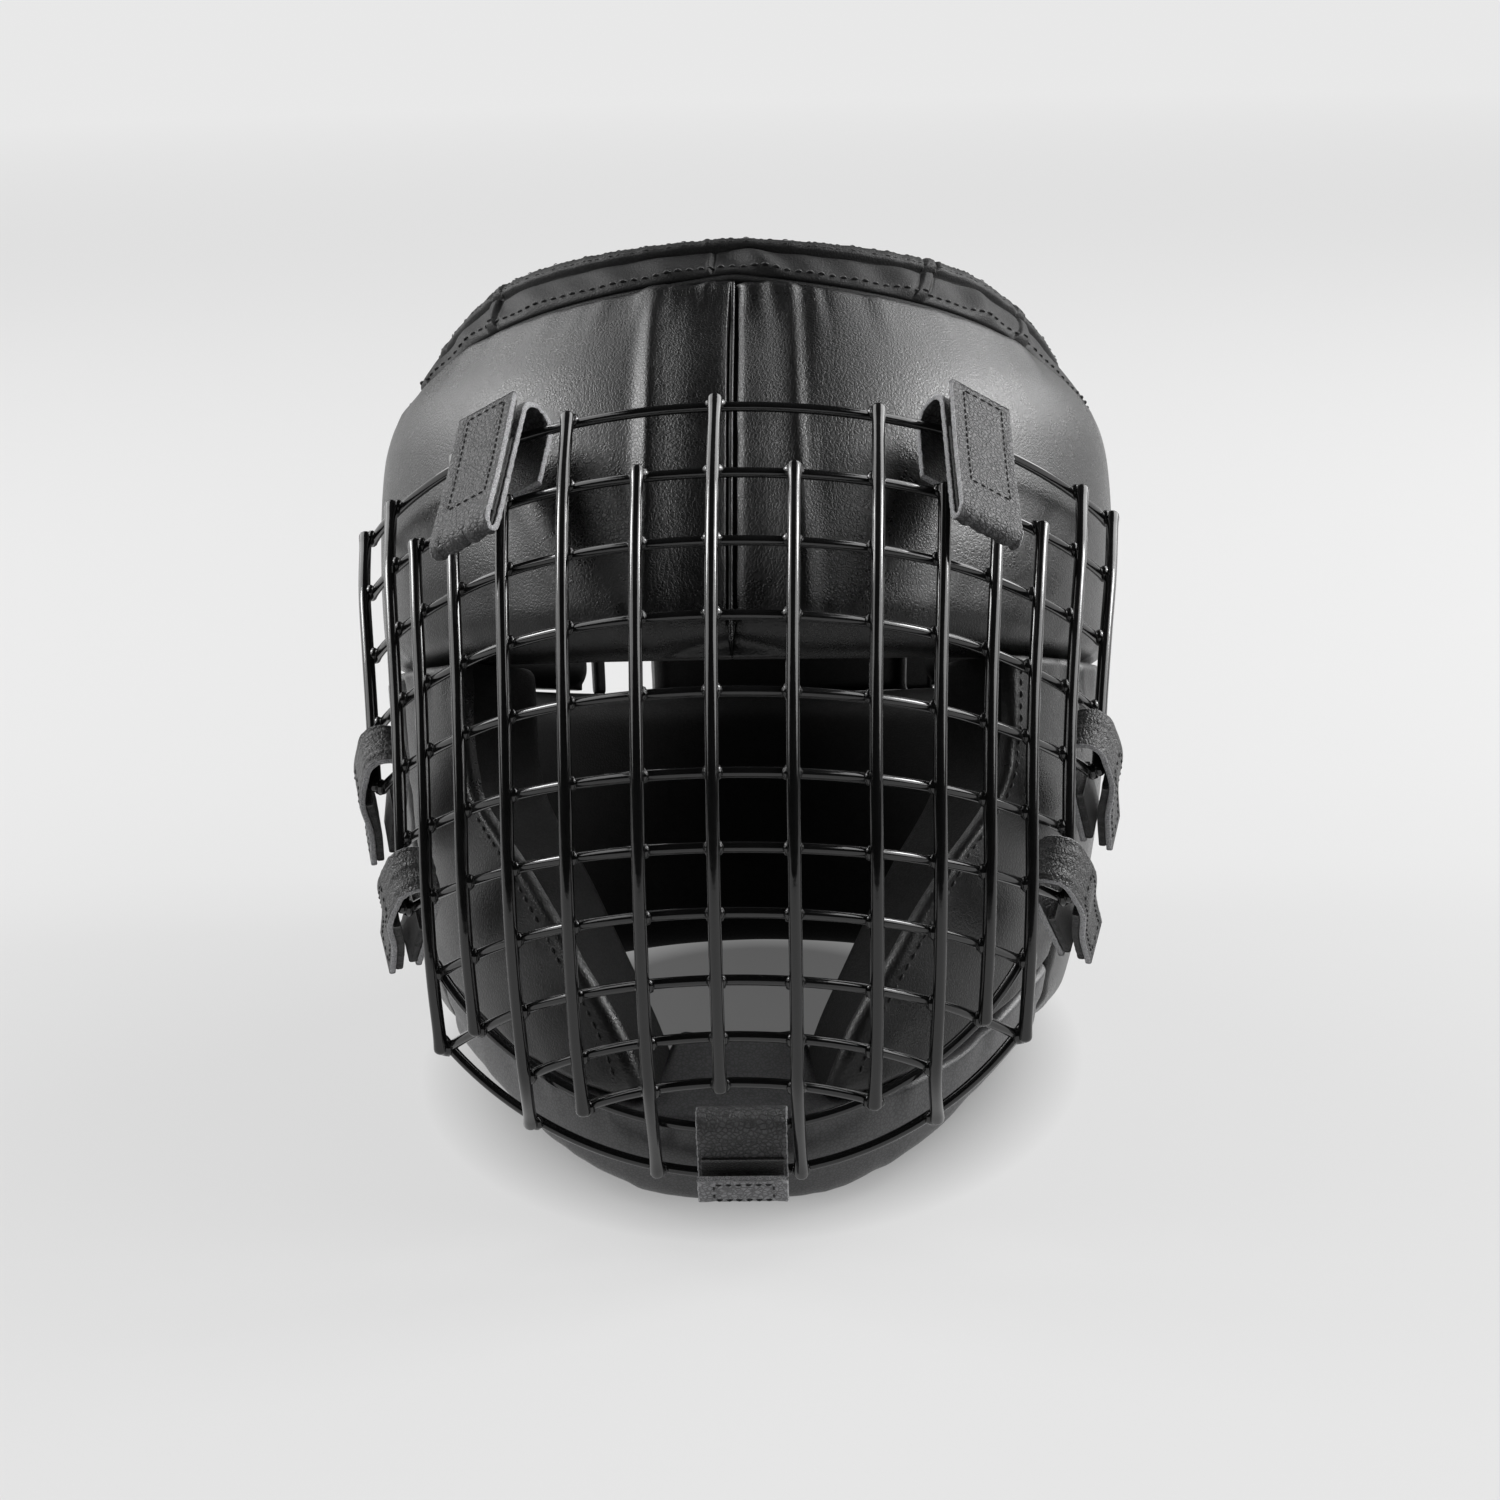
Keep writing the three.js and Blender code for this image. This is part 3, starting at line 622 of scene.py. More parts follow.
@dataclass
class Panel:
    """A padded panel on the guard's skin, between four sides, with edges that round over."""

    name: str
    start: Edge
    end: Edge
    low: Edge
    high: Edge
    rounding: Rounding
    thickness: float = 26.0
    inset: float = 0.0
    pitch: float = 4.0
    fine_start: float = 0.0
    fine_end: float = 0.0
    fine_pitch: float = 1.5
    edge_share: float = 0.44
    wall_rings: int = 3
    wall: Finish = Finish.LEATHER
    relief: Callable[[Array, Array], Array] = lambda around, z: 0 * z
    ledge: Callable[[Array, Array], Array] = lambda around, v: 0 * v
    pucker: float = 0.5
    pucker_reach: float = 9.0
    filling: Filling | None = Filling()
    slot: Slot = Slot.LEATHER
    seed: int = 1
    cords: Callable[[], list[Shape]] = list
    seam: float | None = None
    face: Face | None = None
    carved: Array | None = None

    def stations(self, length: float, first: float, last: float, fine: Pair) -> Array:
        """Shares along a side: the quarter circles of its two rounded ends, and even steps between.

        Args:
            length: The side's length in millimetres.
            first: Rounding radius at its start.
            last: Rounding radius at its end.
            fine: How far from its start and from its end the steps are fine.

        Returns:
            Shares from 0 to 1, rising.
        """
        bend = 1 - np.sin(np.radians([90, 70, 50, 30, 14]))
        stops = [first, max(first, fine[0]), length - max(last, fine[1]), length - last]
        runs = [bend * first]
        for low, high, pitch in zip(stops, stops[1:], (self.fine_pitch, self.pitch, self.fine_pitch)):
            runs.append(np.linspace(low, high, int(np.ceil((high - low) / pitch)), endpoint=False))
        return np.concatenate(runs + [[stops[-1]], length - (bend * last)[::-1]]) / length

    @staticmethod
    def dropped(distance: Array, radius: float) -> Array:
        """How far a quarter circle edge has dropped at a distance from it."""
        a = np.clip(1 - distance / radius, 0, 1)
        return radius * (1 - np.sqrt(1 - a * a))

    def shape(self) -> Shape:
        """Works out the closed panel: outer grid, wall rings and inner grid.

        The outer face lies at the depth of the rounded edges below the skin, and the inner face
        lies a thickness deeper, less the same rounding.

        Returns:
            The panel before it is puffed, with how near a sewn side each point is.
        """
        half = np.array(0.5)
        mean = (self.start(half) + self.end(half)) / 2
        middle = GUARD.skin(mean, (self.low(mean) + self.high(mean)) / 2)
        length = float(self.end(half) - self.start(half)) * np.pi / 180 * np.hypot(middle[0], middle[1])
        height = float(self.high(mean) - self.low(mean))
        fine = (self.fine_start, self.fine_end)
        across = self.stations(length, self.rounding.start, self.rounding.end, fine)
        upward = self.stations(height, self.rounding.low, self.rounding.high, (0.0, 0.0))
        u, v = np.meshgrid(across, upward)
        around = self.start(v) + (self.end(v) - self.start(v)) * u
        z = self.low(around) + (self.high(around) - self.low(around)) * v
        sides = np.stack([u * length, (1 - u) * length, v * height, (1 - v) * height])
        radii = (self.rounding.start, self.rounding.end, self.rounding.low, self.rounding.high)
        drops = [self.dropped(d, r) for d, r in zip(sides, radii)]
        drop = np.maximum(drops[0], drops[1]) + np.maximum(drops[2], drops[3])
        drop = np.minimum(self.edge_share * self.thickness, drop)
        near = np.exp(-(np.min(sides, axis=0) / self.pucker_reach) ** 2)
        travel = np.where(np.minimum(sides[0], sides[1]) < np.minimum(sides[2], sides[3]), sides[2], sides[0])
        ripple = self.pucker * near * waves(travel, (7.3, 11.9, 19.1), self.seed)
        self.carved = self.relief(around, z)
        outer = GUARD.below(around, z, self.inset + drop + ripple)
        lifted = z + self.ledge(around, v)
        inner = GUARD.below(around, lifted, self.inset + self.thickness - drop)
        rows, columns = u.shape
        rim = self.rim(rows, columns)
        shares = np.arange(1, self.wall_rings + 1) / (self.wall_rings + 1)
        outer_rim, inner_rim = outer.reshape(-1, 3)[rim], inner.reshape(-1, 3)[rim]
        walls = outer_rim + (inner_rim - outer_rim) * shares[:, None, None]
        face_count, rim_count = rows * columns, len(rim)
        rings = np.vstack([rim, face_count + np.arange(self.wall_rings * rim_count).reshape(-1, rim_count)])
        rings = np.vstack([rings, face_count + self.wall_rings * rim_count + rim])
        ahead = np.roll(rings, -1, axis=1)
        wall = np.stack([ahead[:-1], rings[:-1], rings[1:], ahead[1:]], -1).reshape(-1, 4)
        front = grid_quads(rows, columns)
        back = front[:, ::-1] + face_count + self.wall_rings * rim_count
        points = np.concatenate([outer.reshape(-1, 3), walls.reshape(-1, 3), inner.reshape(-1, 3)])
        finish = np.repeat([Finish.LEATHER, self.wall, Finish.LINING], [len(front), len(wall), len(back)])
        edge = np.concatenate([near.ravel(), np.ones(self.wall_rings * rim_count), near.ravel()])
        self.face = Face(GUARD.set(outer), across, upward)
        return Shape(GUARD.set(points), np.concatenate([front, wall, back]), finish=finish, edge=edge)

    @staticmethod
    def rim(rows: int, columns: int) -> Array:
        """Numbers of a grid's outermost points in turn, leftwise round."""
        grid = np.arange(rows * columns).reshape(rows, columns)
        return np.concatenate([grid[0, :-1], grid[:-1, -1], grid[-1, :0:-1], grid[:0:-1, 0]])

    def build(self, materials: list[Material]) -> Object:
        """Makes, puffs and dresses the panel, and keeps its finished outer face.

        Args:
            materials: The leather, the lining and the thread.

        Returns:
            The piece, which stands for the CAD node of its name.
        """
        shape = self.shape()
        rows, columns = self.face.points.shape[:2]
        count = rows * columns
        if self.filling:
            held = np.ones(len(shape.points))
            held[:count] = np.clip(shape.edge[:count] * 1.6, 0, 1)
            shape.points = self.filling.puffed(shape, held)
        u, v = np.meshgrid(self.face.across, self.face.upward)
        puffed = Face(shape.points[:count].reshape(rows, columns, 3), self.face.across, self.face.upward)
        outer = puffed.points - puffed.normal(u, v) * (self.carved * MM)[..., None]
        shape.points[:count] = outer.reshape(-1, 3)
        self.face = Face(outer, self.face.across, self.face.upward)
        piece = smoothed(Shape.joined([shape] + self.cords()).piece(self.name, materials))
        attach(piece, BODY)
        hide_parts(self.name)
        if self.seam is not None:
            stitched(f"{self.name}_stitches", self.stitches(self.seam), materials[Finish.THREAD])
        LOG.info("%s: %d points", self.name, len(shape.points))
        return piece

    def stitches(self, share: float) -> Shape:
        """A row of stitches up the finished face, at a share of the way across it."""
        v = np.linspace(0.05, 0.97, 200)
        u = np.full(200, share)
        return SEWING.row(self.face.at(u, v), self.face.normal(u, v))


def constant(value: float) -> Edge:
    """An edge that stays at one value."""
    return lambda places: np.full(np.shape(places), value)


@dataclass
class Guard:
    """The padded guard: forehead, cheeks, sides, chin bar, back pad and back tab."""

    seam_gap: float = 0.3
    crown_gap: float = 0.9
    chin_gap: float = 1.4
    seam_half_angle: float = 0.15
    centre_half_angle: float = 0.05
    open_edge: float = 11.0
    sewn_edge: float = 3.0
    tab_edge: float = 5.0
    forehead_end: float = 143.0
    side_start: float = 63.0
    side_end: float = 121.0
    back_top: float = 27.0
    tab_start: float = 151.0
    tab_end: float = 200.0
    tab_thickness: float = 13.0
    chin_thickness: float = 31.0
    valley_depth: float = 4.0
    valley_half_width: float = 23.0
    crest_height: float = 2.3
    crest_half_width: float = 3.0
    crest_inner_width: float = 7.5
    centre_edge: float = 0.7
    seam_pull: Pair = (0.8, 2.2)
    seam_pull_reach: Pair = (1.8, 3.2)
    crest_top: Pair = (22.0, 16.0)
    crest_brow: Pair = (23.0, 20.5)
    welt_radius: float = 0.8
    welt_depth: float = 0.85
    welt_aside: float = 0.02
    cheek_edge: float = 3.5
    cheek_seam: float = 0.09
    ledge_rise: float = 16.0
    ledge_half_angle: float = 18.0
    ledge_fade: float = 5.0
    crown_fade: float = 0.12
    crown_least: float = 0.15
    crest_fade: float = 0.3
    fine_reach: float = 34.0
    welt_ends: Pair = (3.0, 2.5)
    rear_around: Pair = (211.5, 147.5)
    rear_width: Pair = (5.0, 12.0)
    rear_edge: float = 1.6
    rear_thickness: float = 4.4
    rear_inset: float = 6.5

    def valley(self, around: Array, z: Array) -> Array:
        """Depth of the forehead's relief: a parabola over the centre seam, less a crest on each side.

        The parabola fades towards the crown. The leather falls off a little more right at the seam.
        A crest is a bell curve across, wider towards the seam, whose middle moves down to the brow.

        Args:
            around: Angles around from the front.
            z: Heights.

        Returns:
            Depths below the skin.
        """
        x = GUARD.skin(around, z)[..., 0]
        share = np.clip((z - GUARD.brow) / (GUARD.crown[0].seam - GUARD.brow), 0, 1)
        side = (np.asarray(around) > 0).astype(int)
        deep = self.valley_depth * (1 - np.clip(np.abs(x) / self.valley_half_width, 0, 1) ** 2)
        deep = deep * np.clip((1 - share) / self.crown_fade, self.crown_least, 1)
        pull, reach = np.array(self.seam_pull)[side], np.array(self.seam_pull_reach)[side]
        deep = deep + pull * np.exp(-np.abs(x) / reach)
        middle = np.array(self.crest_brow)[side] * (1 - share) + np.array(self.crest_top)[side] * share
        beyond = np.abs(x) - middle
        width = np.where(beyond > 0, self.crest_half_width, self.crest_inner_width)
        crest = np.exp(-((beyond / width) ** 2)) * np.sin(np.pi * share) ** self.crest_fade
        return deep - self.crest_height * crest

    def centre_welt(self) -> list[Shape]:
        """The cord sewn into the centre seam."""
        z = np.linspace(GUARD.brow + self.welt_ends[0], GUARD.crown[0].seam - self.welt_ends[1], 40)
        around = np.full(40, -self.welt_aside)
        path = GUARD.below(around, z, self.valley(around, z) + self.welt_depth)
        return [rod(path, self.welt_radius, (1, 0, 0), step=2.0, sides=8)]

    def chin_ledge(self, around: Array, v: Array) -> Array:
        """How far the chin bar's inner face reaches up into a cup, fading to its sides."""
        inward = (self.ledge_half_angle - np.abs(around)) / self.ledge_fade
        return self.ledge_rise * v * np.clip(inward, 0, 1)

    def sided(self, side: Side, front: Edge, back: Edge) -> tuple[Edge, Edge]:
        """The start and end of a panel on one side, whose angles rise from left to right."""
        if side is Side.RIGHT:
            return front, back
        return (lambda v: -back(v)), (lambda v: -front(v))

    def rounded(self, side: Side, front: float, back: float, low: float, high: float) -> Rounding:
        """The rounding of a panel on one side."""
        return Rounding(front, back, low, high) if side is Side.RIGHT else Rounding(back, front, low, high)

    def forehead(self, side: Side) -> Panel:
        """The forehead pad of one side, from the centre seam to behind the temple.

        Args:
            side: Which side.

        Returns:
            The panel.
        """
        start, end = self.sided(side, constant(self.centre_half_angle), constant(self.forehead_end))
        return Panel(
            f"forehead_{side.word}", start, end,
            constant(GUARD.brow), lambda around: GUARD.crown_seam(around) - self.crown_gap,
            self.rounded(side, self.centre_edge, self.open_edge, self.open_edge, self.sewn_edge),
            fine_start=self.fine_reach if side is Side.RIGHT else 0.0,
            fine_end=self.fine_reach if side is Side.LEFT else 0.0,
            relief=self.valley, pucker=0.3, seed=3 + side,
            cords=self.centre_welt if side is Side.LEFT else list,
        )

    def cheek(self, side: Side) -> Panel:
        """The cheek pad of one side, from the face opening to the side pad.

        Args:
            side: Which side.

        Returns:
            The panel.
        """
        start, end = self.sided(side, GUARD.opening, constant(self.side_start - self.seam_half_angle))
        return Panel(
            f"cheek_{side.word}", start, end,
            lambda around: GUARD.chin_high(around) + self.chin_gap, constant(GUARD.brow - self.seam_gap),
            self.rounded(side, self.cheek_edge, self.sewn_edge, self.sewn_edge, self.sewn_edge),
            seed=7 + side, wall=Finish.LINING,
            seam=self.cheek_seam if side is Side.RIGHT else 1 - self.cheek_seam,
        )

    def rear_strap(self, side: Side) -> Panel:
        """The thin strap behind the temple, from the nape pad up to the crown.

        Args:
            side: Which side.

        Returns:
            The panel.
        """
        hand = int(side is Side.RIGHT)
        around, width = self.rear_around[hand], self.rear_width[hand]
        place = GUARD.skin(np.array(around), np.array(self.back_top))
        half = np.degrees(width / 2 / np.hypot(place[0], place[1]))
        edge = self.rear_edge
        return Panel(
            f"rear_strap_{side.word}", constant(around - half), constant(around + half),
            constant(self.back_top + self.seam_gap),
            lambda places: GUARD.crown_seam(places) + self.crown_gap - self.seam_gap,
            Rounding(edge, edge, edge, edge), thickness=self.rear_thickness, inset=self.rear_inset,
            pitch=2.5, wall_rings=1, pucker=0.15, pucker_reach=2.0,
            filling=None, slot=Slot.STRAP, seed=23 + side,
        )

    def side_pad(self, side: Side) -> Panel:
        """The ear pad of one side.

        Args:
            side: Which side.

        Returns:
            The panel.
        """
        start, end = self.sided(
            side, constant(self.side_start + self.seam_half_angle),
            constant(self.side_end - self.seam_half_angle),
        )
        return Panel(
            f"side_{side.word}", start, end, GUARD.hem, constant(GUARD.brow - self.seam_gap),
            self.rounded(side, self.sewn_edge, self.sewn_edge, self.open_edge, self.sewn_edge),
            seed=11 + side,
        )

    def chin_bar(self) -> Panel:
        """The bar under the chin, which the guard rests on."""
        end = self.side_start - self.seam_half_angle
        return Panel(
            "chin_bar", constant(-end), constant(end), GUARD.chin_low, GUARD.chin_high,
            Rounding(self.sewn_edge, self.sewn_edge, self.open_edge, self.sewn_edge),
            thickness=self.chin_thickness, ledge=self.chin_ledge, seed=15,
        )

    def back_pad(self) -> Panel:
        """The pad round the nape."""
        start = self.side_end + self.seam_half_angle
        return Panel(
            "back_pad", constant(start), constant(360 - start), GUARD.hem, constant(self.back_top),
            Rounding(self.sewn_edge, self.sewn_edge, self.open_edge, self.open_edge), seed=17,
        )

    def back_tab(self) -> Panel:
        """The tab that joins the nape pad to the crown.

        Returns:
            The panel.
        """
        return Panel(
            "back_tab", constant(self.tab_start), constant(self.tab_end),
            constant(self.back_top + self.seam_gap),
            lambda around: GUARD.crown_seam(around) - self.seam_gap,
            Rounding(self.tab_edge, self.tab_edge, self.sewn_edge, self.sewn_edge),
            thickness=self.tab_thickness, seed=19,
        )

    def panels(self) -> list[Panel]:
        """All padded panels."""
        paired = [make(side) for side in Side for make in (self.forehead, self.cheek, self.side_pad)]
        single = [self.chin_bar(), self.back_pad(), self.back_tab()]
        return paired + single + [self.rear_strap(side) for side in Side]


class SectionRow(NamedTuple):
    """A point of the crown band's section: place round it, share of its height, share of its depth."""

    turn: float
    height: float
    depth: float


class CrownStrip(NamedTuple):
    """A narrow strip sewn across the crown band: its angle at the seam, and how far it leans to the edge."""

    around: float
    lean: float


@dataclass
class CrownBand:
    """The soft band round the crown opening, gathered in folds, with a bound edge and sewn strips."""

    thickness: float = 10.0
    crown_gap: float = 0.9
    pitch: float = 1.5
    fine_pitch: float = 0.28
    section_points: int = 78
    section: tuple[SectionRow, ...] = (
        SectionRow(0, 0, 0.34),
        SectionRow(0.05, 0.02, 0.17),
        SectionRow(0.09, 0.09, 0.05),
        SectionRow(0.14, 0.2, 0.02),
        SectionRow(0.22, 0.42, 0.03),
        SectionRow(0.29, 0.6, 0.05),
        SectionRow(0.31, 0.65, 0.09),
        SectionRow(0.325, 0.68, 0.25),
        SectionRow(0.34, 0.7, 0.06),
        SectionRow(0.36, 0.74, -0.02),
        SectionRow(0.39, 0.82, -0.04),
        SectionRow(0.43, 0.93, 0.03),
        SectionRow(0.47, 1, 0.18),
        SectionRow(0.51, 1, 0.42),
        SectionRow(0.55, 0.9, 0.6),
        SectionRow(0.59, 0.76, 0.66),
        SectionRow(0.63, 0.68, 0.76),
        SectionRow(0.7, 0.45, 0.97),
        SectionRow(0.82, 0.15, 1),
        SectionRow(0.92, 0, 0.9),
        SectionRow(1, 0, 0.34),
    )
    lining_turns: Pair = (0.62, 0.97)
    strips: tuple[CrownStrip, ...] = (
        CrownStrip(-70, -12), CrownStrip(-51, -10), CrownStrip(36, 10), CrownStrip(60, 14),
    )
    strip_half_width: float = 1.9
    strip_height: float = 0.55
    strip_groove: float = 0.6
    centre_seam: float = -4.0
    fold_depth: float = 1.3
    folds: tuple[float, ...] = (23.0, 14.6, 9.1)
    crinkle: float = 0.22
    radius: float = 92.0
    fine_reach: float = 2.8
    fill: float = 0.3
    welt_radius: float = 1.7
    welt_depth: float = 4.2
    welt_end: float = 142.0
    seam_turn: float = 0.115
    binding_turns: Pair = (0.372, 0.425)
    small: Stitching = Stitching(pitch=2.3, length=1.7, radius=0.15, lift=0.02, sink=0.14)

    def leaning(self, base: Array) -> Array:
        """How far the band's lines lean between seam and edge, in degrees: eased from strip to strip."""
        keys = [-180.0, -110.0] + [strip.around for strip in self.strips] + [110.0, 180.0]
        leans = [0.0, -8.0] + [strip.lean for strip in self.strips] + [8.0, 0.0]
        keys.insert(4, self.centre_seam)
        leans.insert(4, 0.0)
        return eased(base, np.array(keys), np.array(leans))

    def proud(self, base: Array, turn: Array, height: Array) -> Array:
        """How far folds, strips and crinkles stand out.

        Folds are uneven waves along the band that fade to its seam and binding. A strip is a flat
        bump with a narrow groove on each side. The binding has fine crinkles.

        Args:
            base: Angles around at the seam.
            turn: Places round the section.
            height: Shares of the band's height.

        Returns:
            Millimetres outward.
        """
        on_band = np.clip((0.34 - turn) / 0.04, 0, 1) * np.clip((turn - 0.03) / 0.06, 0, 1)
        on_edge = np.clip((turn - 0.33) / 0.04, 0, 1) * np.clip((0.6 - turn) / 0.06, 0, 1)
        arch = np.sin(np.pi * np.clip((height - 0.02) / 0.7, 0, 1)) ** 0.8
        fold = waves(base + 7 * height, self.folds, 5)
        quiet = 0.35 + 0.65 * np.clip(waves(base, (61.0, 97.0), 8) + 0.4, 0, 1)
        raised = self.fold_depth * on_band * arch * fold * quiet - self.fold_depth * 0.5 * on_band
        raised = raised + self.crinkle * on_edge * waves(base + 2 * height, (2.3, 3.7, 6.1), 9)
        for strip in self.strips:
            d = np.radians(base - strip.around) * self.radius
            flat = 1 / (1 + (np.abs(d) / self.strip_half_width) ** 8)
            groove = np.exp(-(((np.abs(d) - self.strip_half_width - 0.35) / 0.45) ** 2))
            over = np.maximum(on_band, on_edge)
            profile = self.strip_height * flat - self.strip_groove * groove
            raised = raised * (1 - flat * over) + over * profile
        d = np.radians(base - self.centre_seam) * self.radius
        groove = np.exp(-((d / 0.55) ** 2)) - 0.5 * np.exp(-(((d + 1.3) / 0.6) ** 2))
        return raised - 0.9 * on_band * groove

    def surface(self, base: Array, turn: Array) -> Array:
        """Points of the band: its section carried round the crown along lines that lean with the strips.

        Args:
            base: Angles around at the seam.
            turn: Places round the section, from 0 to 1.

        Returns:
            Points in metres of the row frame.
        """
        height, depth = (eased(turn, *GUARD.column(self.section, number)) for number in (1, 2))
        around = base + self.leaning(base) * np.clip(height, 0, 1)
        low, high = GUARD.crown_seam(around) + self.crown_gap, GUARD.crown_edge(around)
        z = low + (high - low) * height
        return GUARD.set(GUARD.below(around, z, depth * self.thickness - self.proud(base, turn, height)))

    def stations(self) -> Array:
        """Angles around: even steps, finer at the strips and at the centre seam."""
        centres = np.array([strip.around for strip in self.strips] + [self.centre_seam])
        even = np.arange(-180, 180, self.pitch)
        reach = self.fine_reach
        near = np.abs(even[:, None] - centres).min(axis=1) < reach
        fine = [np.arange(c - reach, c + reach, self.fine_pitch) for c in centres]
        return np.sort(np.concatenate([even[~near]] + fine))

    def sewn(self) -> Shape:
        """All stitches: along the seam, in two rows on the binding and on both sides of each strip.

        Returns:
            The stitches as one shape.
        """
        rows = []
        ring = np.linspace(-180, 180, 900)
        for turn, sewing in zip((self.seam_turn, *self.binding_turns), (SEWING, self.small, self.small)):
            rows.append(sewing.row(*self.line(ring, np.full(len(ring), turn))))
        turns = np.linspace(0.1, 0.46, 60)
        aside = np.degrees((self.strip_half_width + 0.3) / self.radius)
        for strip in self.strips:
            for side in Side:
                base = np.full(len(turns), strip.around + side * aside)
                rows.append(self.small.row(*self.line(base, turns)))
        return Shape.joined(rows)

    def line(self, base: Array, turn: Array) -> tuple[Array, Array]:
        """A line on the band and the outward directions there, from short steps around and upward."""
        across = self.surface(base + 0.4, turn) - self.surface(base - 0.4, turn)
        upward = self.surface(base, turn + 0.012) - self.surface(base, turn - 0.012)
        return self.surface(base, turn), unit(np.cross(across, upward))

    def welt(self) -> Shape:
        """The cord sewn into the seam between forehead and crown."""
        around = np.linspace(-self.welt_end, self.welt_end, 160)
        z = GUARD.crown_seam(around) + self.crown_gap / 2
        path = GUARD.below(around, z, np.full(len(z), self.welt_depth))
        return rod(path, self.welt_radius, (0, 0, 1), step=3.0, sides=8)

    def build(self, materials: list[Material]) -> Object:
        """Makes and dresses the band and its stitches.

        Args:
            materials: The leather, the lining and the thread.

        Returns:
            The piece, which stands for the CAD node crown_band.
        """
        base = self.stations()
        turn = np.linspace(0, 1, self.section_points, endpoint=False)
        t, a = np.meshgrid(turn, base, indexing="ij")
        quads = grid_quads(len(turn), len(base), True, True)
        at = turn[quads[:, 0] // len(base)]
        lined = (at > self.lining_turns[0]) & (at < self.lining_turns[1])
        edge = np.exp(-(((t - 0.4) / 0.06) ** 2)) + np.exp(-(((t - 0.1) / 0.04) ** 2))
        shape = Shape(
            self.surface(a, t).reshape(-1, 3), quads,
            finish=np.where(lined, Finish.LINING, Finish.LEATHER), edge=edge.ravel(),
        )
        piece = smoothed(Shape.joined([shape, self.welt()]).piece("crown_band", materials))
        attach(piece, BODY)
        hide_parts("crown_band")
        stitched("crown_band_stitches", self.sewn(), materials[Finish.THREAD])
        LOG.info("crown_band: %d points", len(shape.points))
        return piece


class CrossWire(NamedTuple):
    """A cross wire: place on the centre arc, front bend, slope to the back, spacing, outermost upright."""

    rise: float
    bend: float
    droop: float
    spread: float
    reach: int


class Rim(NamedTuple):
    """A rim wire under the chin: its middle, and the crossing that its ends meet."""

    y: float
    z: float
    row: int
    column: int


INNER_RIM = Rim(-128.5, -99.5, 7, 5)
OUTER_RIM = Rim(-118, -112.5, 8, 5)


class Upright(NamedTuple):
    """An upright on both sides of the centre: its column, first and last cross wire, and its foot's rim."""

    column: int
    first: int
    last: int
    foot: Rim | None


